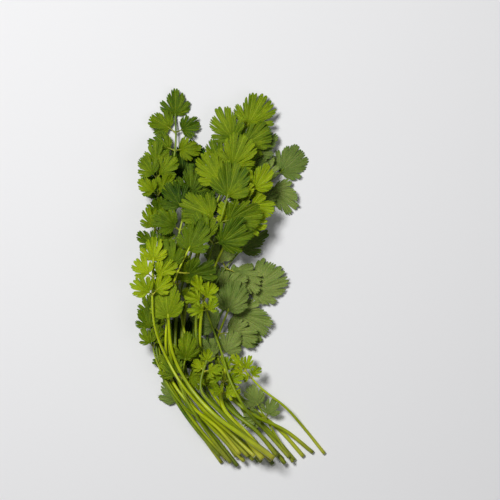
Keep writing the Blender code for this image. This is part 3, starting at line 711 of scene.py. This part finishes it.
def cap_faces(centre, first, columns, flip=False):
    """Triangles between a centre point and the ring that starts at number first."""
    c = np.arange(columns)
    following = (c + 1) % columns
    middle = np.full(columns, centre)
    if flip:
        c, following = following, c
    return np.stack([middle, first + c, first + following, first + following], axis=1)


def fine_edge(leaflet, cutting, rng):
    """The leaflet's edge, as columns from one side of the fan round to the other and over the heel.

    Each tooth of the solid is a segment with two to four round teeth. The radius is the even fan's,
    less a cut at every notch that falls off as a power of the distance from it. Notches at the ends of
    segments and lobes are deeper, and the segments and lobes have shoulders that fall away with the
    third power and the power 3.5 of the distance from their middle. Behind the base the radius eases to
    the small heel.
    """
    fine = rng.integers(*FINE_TEETH, leaflet.teeth)
    segment = np.repeat(np.arange(leaflet.teeth), fine)
    teeth = len(segment)
    step = 2 * FAN_HALF_ANGLE / leaflet.teeth
    within = np.concatenate([np.arange(n) / n for n in fine])
    starts = (segment + within) * step
    inner = within > 0
    starts[inner] += rng.uniform(-TOOTH_JITTER, TOOTH_JITTER, inner.sum()) * step / USUAL_TEETH
    starts = np.append(starts, 2 * FAN_HALF_ANGLE)
    across = np.linspace(0, teeth, teeth * TOOTH_COLUMNS + 1)
    tooth = np.minimum(across.astype(int), teeth - 1)
    angle = np.interp(across, np.arange(teeth + 1), starts)
    place = np.minimum(angle / step, leaflet.teeth - 1e-9)
    borders = np.concatenate([[0], np.cumsum(leaflet.lobes)])
    number = np.searchsorted(borders, place, side="right") - 1
    from_lobe = np.abs(2 * (place - borders[number]) / np.array(leaflet.lobes)[number] - 1)
    from_segment = np.abs(2 * (place - place.astype(int)) - 1)
    from_tooth = np.abs(2 * (across - tooth) - 1)
    from_lobe[-1] = from_segment[-1] = 1.0
    at_segment = np.append(within == 0, True)
    at_lobe = np.isin(np.append(segment, leaflet.teeth), borders) & at_segment
    depth = rng.uniform(*TOOTH_DEPTH, teeth + 1)
    for slit, here in ((SEGMENT_SLIT, at_segment), (LOBE_SLIT, at_lobe)):
        depth = depth + np.where(here, rng.uniform(*slit, teeth + 1), 0) * cutting
    nearest = np.where(across - tooth < 0.5, tooth, tooth + 1)
    sharp = rng.uniform(*NOTCH_SHARPNESS, teeth + 1)
    cut = (depth[nearest] * from_tooth ** sharp[nearest]
           + (SEGMENT_SHOULDER * from_segment ** 3 + LOBE_SHOULDER * from_lobe ** 3.5) * cutting)
    angle = angle - FAN_HALF_ANGLE
    even = leaflet.size * np.cos(FAN_NARROWING * angle)
    length = rng.uniform(*SEGMENT_LENGTH, leaflet.teeth)[place.astype(int)]
    joined = from_segment ** 4
    radius = even * (length * (1 - joined) + joined - np.minimum(cut, DEEPEST_CUT))
    back = np.linspace(0, 1, HEEL_COLUMNS + 2)[1:-1]
    back_angle = FAN_HALF_ANGLE + back * (2 * math.pi - 2 * FAN_HALF_ANGLE)
    dip = np.sin(math.pi * back) ** 0.5
    back_radius = (radius[-1] * (1 - back) + radius[0] * back) * (1 - dip) + HEEL * leaflet.size * dip
    ones = np.ones(HEEL_COLUMNS)
    return Edge(*(np.concatenate([fan, heel]) for fan, heel in (
        (angle, back_angle), (radius, back_radius), (even, back_radius), (from_lobe, ones),
        (from_segment, ones), (from_tooth, ones), (number, np.zeros(HEEL_COLUMNS, int)))))


def ring_radii(edge, t):
    """Radii of the blade's rings, at shares t of the way out.

    The inner rings keep near the uncut fan, and the outer ones take on the cut edge's shape little by
    little. None goes beyond a share of the edge's radius that grows outward to one.
    """
    settled = np.clip((t - SETTLE_START) / (1 - SETTLE_START), 0, 1) ** 1.5
    inner = np.minimum(edge.even, edge.radius / RINGS[-2])
    uncut = edge.even * EVEN_SHARE + inner * (1 - EVEN_SHARE)
    radii = t * uncut * (1 - settled) + t * edge.radius * settled
    return np.minimum(radii, edge.radius * (INNER_REACH + (1 - INNER_REACH) * t))


def leaflet_lift(leaflet, edge, angles, share, room, curl, props, rng):
    """How far a leaflet's finer form stands off the solid's middle surface, in millimetres.

    It is the sum of a valley along each lobe's midrib, smaller valleys along the segments and teeth, a
    dome or hollow of the whole blade (half a sine wave from the base to the edge), a bend of each
    lobe's end with the power 1.6 of the way along it, and waves round the base that grow with the cube
    of the distance. Only where there is room above does it rise by more than a little, and it never
    dips by more than a little.
    """
    pleats = sum(depth * share ** outward * (getattr(edge, mark) ** sharp - sunk)
                 for mark, depth, outward, sharp, sunk in PLEATS)
    high = props.curl_height / MM * curl
    dome = rng.uniform(*DOME_RANGE) * high * np.sin(math.pi * np.minimum(share, 1))
    toward_end = np.clip((share - BEND_START) / (1 - BEND_START), 0, 1)
    bend = rng.uniform(*BEND_RANGE, len(leaflet.lobes))[edge.number] * high * toward_end ** 1.6
    waves = sum(height * np.sin(turns * angles + shift * leaflet.phase)
                for height, turns, shift in EDGE_WAVES)
    rise = props.pleat_height / MM * pleats + dome + bend + EDGE_WAVE * high * share ** 3 * waves
    return np.clip(np.where(rise > 0, rise * room, rise) + np.clip(rise, 0, COVERED_RISE) * (1 - room),
                   -LEAST_SINK, None)


def add_leaflet(shell, leaflet, rng, pile, props, curl, shade):
    """One leaflet: two skins over the solid's middle surface, joined round the toothed edge.

    The blade is thinner toward its edge, with the fourth power of the way out.
    """
    cutting = rng.uniform(*CUTTING_RANGE) * (CUTTING_OF_FLAT + CUTTING_BY_CURL * curl)
    if leaflet.size < FEATHERY_SIZE:
        cutting *= FEATHERY_CUTTING
    edge = fine_edge(leaflet, cutting, rng)
    rings, columns = len(RINGS), len(edge.angle)
    t = np.array(RINGS)[:, None]
    reach = ring_radii(edge, t)
    share = reach / leaflet.size
    angles = np.broadcast_to(edge.angle, reach.shape)
    flat = leaflet_surface(leaflet, angles, reach)
    i, j = pile.cell_of(flat[..., 0], flat[..., 1])
    room = np.clip((FREE_ABOVE - (pile.height[i, j] - flat[..., 2])) / ROOM_EASE, 0, 1)
    lift = leaflet_lift(leaflet, edge, angles, share, room, curl, props, rng)
    uphill, sine, cosine = leaning(leaflet)
    normal = np.array([*(-sine * uphill), cosine])
    middle = flat + lift[..., None] * normal
    middle[..., 2] = np.maximum(middle[..., 2], LOWEST)
    half = props.blade_thickness / MM / 2 * (1 - EDGE_THINNING * t ** 4)
    skin = half[..., None] * normal
    skins = [np.vstack([leaflet.base + way * skin[0, 0], (middle + way * skin).reshape(-1, 3)])
             for way in (1, -1)]
    count = len(skins[0])
    last = 1 + (rings - 1) * columns + np.arange(columns)
    following = np.roll(last, -1)
    faces = [cap_faces(0, 1, columns), ring_faces(rings, columns, flip=True) + 1,
             cap_faces(0, 1, columns, flip=True) + count, ring_faces(rings, columns) + 1 + count,
             np.stack([following, last, last + count, following + count], axis=1)]
    u = np.concatenate([[0.5], (angles.ravel() + math.pi) / (2 * math.pi)])
    v = np.concatenate([[0.0], share.ravel()])
    marks = {name: np.tile(np.concatenate([[1.0], np.tile(getattr(edge, name), rings)]), 2)
             for name in ("lobe", "segment", "tooth")}
    # random tone, with painted shade that darkens the leaflet the lower it lies in the pile
    tint = tone_and_shade_at(leaflet.base[2], TOP_LEVEL, shade, rng)
    shell.add(np.vstack(skins), np.vstack(faces), np.tile(np.stack([u, v], axis=1), (2, 1)), 0,
              tint=tint, under=np.repeat([0.0, 1.0], count), **marks)


def tone_and_shade_at(height, top, shade, rng):
    """How light a piece is, from 0 to 1: partly by chance, and partly painted shade that makes it lighter
    the higher it lies in the pile.
    """
    tint = TONE_BY_CHANCE * rng.uniform() + (1 - TONE_BY_CHANCE) * min(1.0, height / top)
    return min(max(tint + shade, 0.0), 1.0)


def smooth_stalk(points, radii):
    """A smooth curve through a stalk's points, and its radius, at even short steps."""
    line = curve_through(points, CURVE_STEPS)
    way = way_along(line)
    at = np.linspace(0, way[-1], max(LEAST_RINGS, int(way[-1] / STALK_STEP)))
    own = np.interp(at, way, np.arange(len(line)) / CURVE_STEPS)
    return place_on(line, way, at), np.interp(own, np.arange(len(radii)), radii)


def add_stalk(shell, points, radii, rng, props, shade, cut_end):
    """A ribbed stalk: a wavy round profile carried along a smooth line through the solid's points.

    The profile's radius is the stalk's radius times one plus a small cosine for each rib. The cut end
    is flat with a slightly sunken middle.
    """
    line, radius = smooth_stalk(points, radii)
    rings = len(line)
    course = np.gradient(line, axis=0)
    course /= np.linalg.norm(course, axis=1)[:, None]
    side = np.cross([0.0, 0.0, 1.0], course)
    side /= np.maximum(np.linalg.norm(side, axis=1), 1e-6)[:, None]
    up = np.cross(course, side)
    turn = np.linspace(0, 2 * math.pi, STALK_COLUMNS, endpoint=False)
    first_twist = rng.uniform(0, 2 * math.pi)
    twist = first_twist + np.linspace(0, rng.uniform(-RIB_TWIST, RIB_TWIST), rings)[:, None]
    rib = 1 + props.rib_depth * np.cos(STALK_RIBS * turn + twist)
    across = (radius[:, None] * rib * STALK_FULLNESS)[..., None]
    tube = line[:, None] + across * (np.cos(turn)[None, :, None] * side[:, None]
                                     + np.sin(turn)[None, :, None] * up[:, None])
    tube[..., 2] = np.maximum(tube[..., 2], 0)
    way = np.concatenate([[0], way_along(line)]) / ALONG_UNIT
    uv = np.stack([np.tile(turn / (2 * math.pi), rings + 1), np.repeat(way, STALK_COLUMNS)], axis=1)
    along = np.concatenate([uv[:, 1], [0.0, way[-1]]])
    rim, middle = tube[0], line[0]
    if cut_end:
        rim = tube[0] * CUT_RIM + line[0] * (1 - CUT_RIM)
        middle = line[0] + course[0] * CUT_HOLLOW * radius[0]
        along[:STALK_COLUMNS], along[-2] = CUT_MARKS
    body = np.concatenate([rim[None], tube]).reshape(-1, 3)
    faces = [ring_faces(rings + 1, STALK_COLUMNS), cap_faces(len(body), 0, STALK_COLUMNS, flip=True),
             cap_faces(len(body) + 1, rings * STALK_COLUMNS, STALK_COLUMNS)]
    # random tone, with painted shade that darkens the stalk the lower it lies in the pile
    shell.add(np.vstack([body, middle, line[-1]]), np.vstack(faces),
              np.vstack([uv, [[0.5, 0.0], [0.5, way[-1]]]]), 1, along=along,
              tint=tone_and_shade_at(line[:, 2].mean(), TOP_STALK_LEVEL, shade, rng))


def add_leafy_stem(stem, number, props):
    """One leafy stem as one piece, in place of its solid."""
    laid, pile = bunch_layout()
    stalk, radii, side_stalks, leaflets = laid[stem.name]
    rng = np.random.default_rng([SEED, number])
    shade = SHADES.get(stem.name, 0.0)
    shell = Shell()
    add_stalk(shell, stalk, np.append(radii[:-1], MIDRIB_RADIUS), rng, props, shade, cut_end=True)
    for points in side_stalks:
        add_stalk(shell, points, np.array(SIDE_STALK_RADII), rng, props, shade, cut_end=False)
    for leaflet in leaflets:
        add_leaflet(shell, leaflet, rng, pile, props, stem.curl, shade)
    piece = shell.make(stem.name + "_fresh", [leaf_material(stem.tone), stalk_material()])
    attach(piece, "root")
    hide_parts(stem.name)
    return piece


class Wiring:
    """Adds nodes to a shader tree. A value is a number, a colour or the socket that feeds it."""

    def __init__(self, tree):
        self.nodes, self.links = tree.nodes, tree.links

    def feed(self, socket, value):
        """Links the socket to its value, or sets it."""
        if isinstance(value, bpy.types.NodeSocket):
            self.links.new(value, socket)
        else:
            socket.default_value = value

    def feed_all(self, node, values):
        """Feeds a node's inputs, each by its name or number."""
        for label, value in values.items():
            self.feed(node.inputs[label], value)
        return node

    def number(self, operation, *values, clamp=False):
        """The result of a Math node."""
        node = self.nodes.new("ShaderNodeMath")
        node.operation = operation
        node.use_clamp = clamp
        return self.feed_all(node, dict(enumerate(values))).outputs[0]

    def scaled(self, value, scale, clamp=False):
        """A value times a factor, plus what is added to it."""
        return self.number("MULTIPLY_ADD", value, *scale, clamp=clamp)

    def mix(self, share, first, second):
        """A colour between first and second."""
        node = self.nodes.new("ShaderNodeMix")
        node.data_type = "RGBA"
        node.clamp_factor = True
        return self.feed_all(node, {0: share, 6: first, 7: second}).outputs[2]

    def mark(self, name):
        """A mark of the mesh's points."""
        node = self.nodes.new("ShaderNodeAttribute")
        node.attribute_name = name
        return node.outputs["Fac"]

    def place(self):
        """The place on the piece's UV map."""
        node = self.nodes.new("ShaderNodeUVMap")
        node.uv_map = "UVMap"
        return node.outputs["UV"]

    def noise(self, place, scale, detail):
        """Noise from 0 to 1."""
        node = self.nodes.new("ShaderNodeTexNoise")
        return self.feed_all(node, {"Vector": place, "Scale": scale, "Detail": detail}).outputs["Fac"]

    def streaks(self, place, scale):
        """Noise that is drawn out along the UV map, by a scale for each of its ways."""
        node = self.nodes.new("ShaderNodeMapping")
        stretched = self.feed_all(node, {"Vector": place, "Scale": scale}).outputs["Vector"]
        return self.noise(stretched, 1.0, STREAK_DETAIL)

    def relief(self, height, strength, distance):
        """The surface's direction with a small relief."""
        node = self.nodes.new("ShaderNodeBump")
        values = {"Height": height, "Strength": strength, "Distance": distance}
        return self.feed_all(node, values).outputs["Normal"]

    def group(self, tree, values):
        """The outputs of a node group, with its own values."""
        node = self.nodes.new("ShaderNodeGroup")
        node.node_tree = tree
        return self.feed_all(node, values).outputs

    def strongest(self, masks, away, rate):
        """The greatest of some masks, which are given with where each one starts and its strength.

        Each is multiplied by its strength, and comes up at this rate from its start on the way out.
        """
        found = None
        for mask, start, strength in masks:
            fade = self.scaled(away, (rate, -rate * start), clamp=True)
            mask = self.number("MULTIPLY", mask, self.number("MULTIPLY", fade, strength))
            found = mask if found is None else self.number("MAXIMUM", found, mask)
        return found


def new_group(name, inputs, outputs):
    """An empty shader node group with named number inputs, each with its default, and outputs."""
    group = bpy.data.node_groups.new(name, "ShaderNodeTree")
    for label, default in inputs.items():
        socket = group.interface.new_socket(label, in_out="INPUT", socket_type="NodeSocketFloat")
        socket.default_value = default
    for label in outputs:
        group.interface.new_socket(label, in_out="OUTPUT", socket_type="NodeSocketFloat")
    given = group.nodes.new("NodeGroupInput")
    return group, given.outputs, group.nodes.new("NodeGroupOutput"), Wiring(group)


@functools.cache
def vein_and_crease_shade_group():
    """Where a leaflet's veins run, as a mask from 0 to 1.

    The marks lobe, segment and tooth are 0 on a midrib and 1 half way to the next one. Each times its
    own spread and the distance from the base is the distance from that midrib, and the mask falls off
    over the vein's width. Segment and tooth veins fade toward the base. The rays are fine streaks of
    noise that run out from the base. The crease shadows are painted shade, half way between two
    segments or teeth, from the edge inward.
    """
    group, given, result, wiring = new_group("leaf_veins_and_crease_shade", {"Width": 0.012}, ("Veins", "Rays", "Crease shadows"))
    place = wiring.place()
    split = wiring.nodes.new("ShaderNodeSeparateXYZ")
    away = wiring.feed_all(split, {0: place}).outputs["Y"]
    veins = []
    for name, spread, wide, start, strength in VEINS:
        off = wiring.number("MULTIPLY", wiring.number("MULTIPLY", wiring.mark(name), spread), away)
        share = wiring.number("DIVIDE", off, wiring.number("MULTIPLY", given["Width"], wide))
        veins.append((wiring.number("SUBTRACT", 1.0, share, clamp=True), start, strength))
    # painted shade along the creases between segments and teeth
    crease_shadows = [(wiring.number("POWER", wiring.mark(name), sharp), start, strength)
               for name, sharp, start, strength in CREASE_SHADOWS]
    wiring.feed_all(result, {"Veins": wiring.strongest(veins, away, VEIN_FADE),
                             "Crease shadows": wiring.strongest(crease_shadows, away, CREASE_SHADOW_FADE),
                             "Rays": wiring.streaks(place, RAY_SCALE)})
    return group


@functools.cache
def mottle_group():
    """Soft blotches and a fine grain, each from 0 to 1, out of noise on the piece's own place."""
    group, given, result, wiring = new_group(
        "plant_mottle", {"Blotch size": 90.0, "Grain size": 900.0}, ("Blotches", "Grain"))
    place = wiring.nodes.new("ShaderNodeTexCoord").outputs["Object"]
    wiring.feed_all(result, {"Blotches": wiring.noise(place, given["Blotch size"], BLOTCH_DETAIL),
                             "Grain": wiring.noise(place, given["Grain size"], GRAIN_DETAIL)})
    return group


def new_material(name):
    """A new material, its shader and what adds nodes to its tree."""
    made = bpy.data.materials.new(name)
    made.use_nodes = True
    return made, made.node_tree.nodes["Principled BSDF"], Wiring(made.node_tree)


def shaded(colour, share):
    """A colour made darker by a share, with full alpha."""
    return tuple(share * part for part in colour) + (1,)


@functools.cache
def leaf_material(tone):
    """Leaf: two greens mixed by leaflet, partly as painted shade by height, and by blotches, painted shade
    in the creases, pale veins, and a pale dull underside.
    """
    colours = bpy.context.scene.coriander_colours
    dark, light, vein = (tuple(getattr(colours, tone + "_" + part)) for part in ("dark", "light", "vein"))
    made, shader, wiring = new_material("leaf_" + tone)
    number, scaled, mix = wiring.number, wiring.scaled, wiring.mix
    mottle = wiring.group(mottle_group(), LEAF_MOTTLE)
    veins = wiring.group(vein_and_crease_shade_group(), {"Width": VEIN_WIDTH})
    tint, under = wiring.mark("tint"), wiring.mark("under")
    spread = number("MULTIPLY_ADD", veins["Rays"], 1.0, scaled(mottle["Blotches"], LEAF_BLOTCHES))
    # each leaflet's random tone and painted shade by its height pick between the two greens
    share = number("MULTIPLY_ADD", tint, LEAF_BY_TONE_AND_SHADE, spread, clamp=True)
    green = mix(share, (*dark, 1), (*light, 1))
    speckles = number("MULTIPLY", scaled(mottle["Grain"], SPECKLES, clamp=True), SPECKLE_SHARE)
    green = mix(speckles, green, shaded(dark, SPECKLE_SHADE))
    # painted shade darkens the creases
    crease_shadow = number("MULTIPLY", veins["Crease shadows"], CREASE_SHADOW_SHARES[tone])
    green = mix(crease_shadow, green, shaded(dark, CREASE_SHADE))
    green = mix(number("MULTIPLY", veins["Veins"], VEIN_SHARE), green, (*vein, 1))
    green = mix(under, green, mix(UNDERSIDE_SHARE, (*colours.underside, 1), green))
    rough = number("MULTIPLY_ADD", under, UNDERSIDE_ROUGHNESS, scaled(mottle["Grain"], LEAF_ROUGHNESS))
    height = number("MULTIPLY_ADD", veins["Veins"], VEIN_RELIEF, mottle["Grain"])
    height = number("MULTIPLY_ADD", veins["Rays"], RAY_RELIEF, height)
    wiring.feed_all(shader, {"Base Color": green, "Roughness": rough,
                             "Normal": wiring.relief(height, *LEAF_RELIEF), **LEAF_FINISH})
    return made


@functools.cache
def stalk_material():
    """Stalk: yellow-green with fine lengthwise streaks, paler and a little pink near its cut end."""
    colours = bpy.context.scene.coriander_colours
    dark, light = (*colours.stalk_dark, 1), (*colours.stalk_light, 1)
    made, shader, wiring = new_material("stalk")
    number, scaled, mix = wiring.number, wiring.scaled, wiring.mix
    mottle = wiring.group(mottle_group(), STALK_MOTTLE)
    streaks = wiring.streaks(wiring.place(), STREAK_SCALE)
    along, tint = wiring.mark("along"), wiring.mark("tint")
    # each stalk's random tone and painted shade by its height pick between the two greens
    share = number("MULTIPLY_ADD", tint, 1.0, scaled(mottle["Blotches"], STALK_BLOTCHES), clamp=True)
    green = mix(share, dark, light)
    streaked = number("MULTIPLY", scaled(streaks, STALK_STREAKS, clamp=True), STREAK_SHARE)
    green = mix(streaked, green, dark)
    near_end = scaled(along, BLUSH_FALL, clamp=True)
    blush = number("MULTIPLY", near_end, number("MULTIPLY", tint, BLUSH_SHARE))
    green = mix(blush, green, (*colours.blush, 1))
    green = mix(number("LESS_THAN", along, CUT_LIMIT), green, (*colours.cut_end, 1))
    wiring.feed_all(shader, {"Base Color": green, "Roughness": scaled(mottle["Grain"], STALK_ROUGHNESS),
                             "Normal": wiring.relief(streaks, *STALK_RELIEF), **STALK_FINISH})
    return made


@functools.cache
def floor_material():
    """Plain pale matt floor."""
    made, shader, wiring = new_material("pale_floor")
    wiring.feed_all(shader, {"Base Color": (*bpy.context.scene.coriander_colours.floor, 1), **FLOOR_FINISH})
    return made


def colour_property(name, description, default):
    """A colour in the panel."""
    return bpy.props.FloatVectorProperty(name=name, description=description, default=default,
                                         subtype="COLOR", size=3, min=0, max=1)


def leaf_colour(tone, part, default):
    """One of the three colours of a tone of leaflet in the panel: dark, light or veins."""
    words = {"dark": f"Darkest green of the {tone} leaflets",
             "light": f"Lightest green of the {tone} leaflets",
             "veins": f"Colour of the {tone} leaflets' veins"}
    return colour_property(f"{tone.capitalize()} leaf, {part}", words[part], default)


class CorianderSizes(bpy.types.PropertyGroup):
    """Sizes of the finer form."""

    blade_thickness: bpy.props.FloatProperty(
        name="Leaflet thickness", description="Thickness of a leaflet away from its edge",
        default=0.0004, min=0.0001, max=0.0008, unit="LENGTH")
    curl_height: bpy.props.FloatProperty(
        name="Edge curl", description="How high the free edge of a leaflet waves",
        default=0.0034, min=0, max=0.005, unit="LENGTH")
    pleat_height: bpy.props.FloatProperty(
        name="Pleats", description="Depth of the pleats between the lobes' midribs",
        default=0.0016, min=0, max=0.003, unit="LENGTH")
    rib_depth: bpy.props.FloatProperty(
        name="Stalk ribs", description="Height of a stalk's ribs as a share of its radius",
        default=0.06, min=0, max=0.2, subtype="FACTOR")


class CorianderColours(bpy.types.PropertyGroup):
    """Colours of the leaflets, the stalks and the floor."""

    deep_dark: leaf_colour("deep", "dark", (0.13, 0.2, 0.03))
    deep_light: leaf_colour("deep", "light", (0.3, 0.37, 0.085))
    deep_vein: leaf_colour("deep", "veins", (0.38, 0.46, 0.13))
    fresh_dark: leaf_colour("fresh", "dark", (0.06, 0.12, 0.0))
    fresh_light: leaf_colour("fresh", "light", (0.27, 0.36, 0.0))
    fresh_vein: leaf_colour("fresh", "veins", (0.5, 0.62, 0.05))
    pale_dark: leaf_colour("pale", "dark", (0.16, 0.26, 0.0))
    pale_light: leaf_colour("pale", "light", (0.38, 0.48, 0.0))
    pale_vein: leaf_colour("pale", "veins", (0.64, 0.74, 0.12))
    # The dark leaflets' greens are painted shade: a darker copy of the leaves' green.
    dark_dark: leaf_colour("dark", "dark", (0.02, 0.06, 0.0))
    dark_light: leaf_colour("dark", "light", (0.15, 0.23, 0.0))
    dark_vein: leaf_colour("dark", "veins", (0.3, 0.42, 0.05))
    underside: colour_property("Underside", "Colour of a leaflet's underside", (0.2, 0.27, 0.11))
    stalk_dark: colour_property("Stalk, dark", "Darkest green of the stalks", (0.07, 0.14, 0.0))
    stalk_light: colour_property("Stalk, light", "Lightest green of the stalks", (0.64, 0.74, 0.0))
    blush: colour_property("Stalk blush", "Pinkish colour near the cut ends", (0.42, 0.22, 0.12))
    cut_end: colour_property("Cut end", "Colour of a stalk's cut end", (0.62, 0.68, 0.36))
    floor: colour_property("Floor", "Colour of the floor", (0.8, 0.8, 0.81))


class StemOperator:
    """What the operators for the leafy stems share."""

    bl_options = {"REGISTER", "UNDO"}
    stems = ()

    def execute(self, context):
        for number, stem in enumerate(STEMS):
            if stem.name in self.stems:
                add_leafy_stem(stem, number, context.scene.coriander_sizes)
        return {"FINISHED"}


class CORIANDER_OT_lower_stems(StemOperator, bpy.types.Operator):
    """Add the leafy stems that lie at the bottom of the pile"""

    bl_idname = "coriander.lower_stems"
    bl_label = "Lower leafy stems"
    stems = tuple(stem.name for stem in STEMS[:10])


class CORIANDER_OT_middle_stems(StemOperator, bpy.types.Operator):
    """Add the leafy stems in the middle of the pile"""

    bl_idname = "coriander.middle_stems"
    bl_label = "Middle leafy stems"
    stems = tuple(stem.name for stem in STEMS[10:19])


class CORIANDER_OT_upper_stems(StemOperator, bpy.types.Operator):
    """Add the leafy stems that lie on top of the pile"""

    bl_idname = "coriander.upper_stems"
    bl_label = "Upper leafy stems"
    stems = tuple(stem.name for stem in STEMS[19:])


class CORIANDER_OT_stage(bpy.types.Operator):
    """Add the floor, the soft lights and the camera, which looks straight down"""

    bl_idname = "coriander.stage"
    bl_label = "Floor, lights and camera"
    bl_options = {"REGISTER", "UNDO"}

    def execute(self, context):
        scene = context.scene
        bpy.ops.mesh.primitive_plane_add(size=FLOOR_SIZE, location=(0, 0, 0))
        floor = context.active_object
        floor.name = "floor"
        floor.data.transform(Matrix.Translation((0, 0, -FLOOR_DROP)))
        floor.data.materials.append(floor_material())
        for name, place, size, power in LIGHTS:
            lamp = bpy.data.lights.new(name, "AREA")
            lamp.shape = "DISK"
            lamp.size = size
            lamp.energy = power
            holder = bpy.data.objects.new(name, lamp)
            holder.location = place
            holder.rotation_euler = (-Vector(place)).to_track_quat("-Z", "Y").to_euler()
            scene.collection.objects.link(holder)
        world = bpy.data.worlds.new("soft_room")
        world.use_nodes = True
        Wiring(world.node_tree).feed_all(world.node_tree.nodes["Background"],
                                         {"Color": (1, 1, 1, 1), "Strength": ROOM_LIGHT})
        scene.world = world
        scene.view_settings.view_transform = "Standard"
        lens = bpy.data.cameras.new("camera")
        lens.sensor_width = SENSOR_WIDTH
        lens.lens = lens.sensor_width * (CAMERA_DISTANCE - PHOTO_LEVEL * MM) / (PHOTO_WIDTH * MM)
        lens.clip_end = VIEW_END
        camera = bpy.data.objects.new("camera", lens)
        camera.location = ((PHOTO_CENTRE[0] - MIDDLE[0]) * MM, (PHOTO_CENTRE[1] - MIDDLE[1]) * MM,
                           CAMERA_DISTANCE)
        scene.collection.objects.link(camera)
        scene.camera = camera
        return {"FINISHED"}


OPERATORS = (CORIANDER_OT_lower_stems, CORIANDER_OT_middle_stems, CORIANDER_OT_upper_stems,
             CORIANDER_OT_stage)


class CORIANDER_PT_panel(bpy.types.Panel):
    """Lists the sizes, the colours and the pieces."""

    bl_idname = "CORIANDER_PT_panel"
    bl_label = "Coriander bunch"
    bl_space_type = "VIEW_3D"
    bl_region_type = "UI"
    bl_category = "Coriander"

    def draw(self, context):
        for group in (context.scene.coriander_sizes, context.scene.coriander_colours):
            column = self.layout.column()
            for name in group.__annotations__:
                column.prop(group, name)
        for operator in OPERATORS:
            self.layout.operator(operator.bl_idname)


CLASSES = (CorianderSizes, CorianderColours, *OPERATORS, CORIANDER_PT_panel)


def register():
    for each in CLASSES:
        bpy.utils.register_class(each)
    bpy.types.Scene.coriander_sizes = bpy.props.PointerProperty(type=CorianderSizes)
    bpy.types.Scene.coriander_colours = bpy.props.PointerProperty(type=CorianderColours)


def unregister():
    del bpy.types.Scene.coriander_colours
    del bpy.types.Scene.coriander_sizes
    for each in reversed(CLASSES):
        bpy.utils.unregister_class(each)


def main():
    """Builds every piece and the stage."""
    register()
    bpy.ops.coriander.lower_stems()
    bpy.ops.coriander.middle_stems()
    bpy.ops.coriander.upper_stems()
    bpy.ops.coriander.stage()


if __name__ == "__main__":
    main()
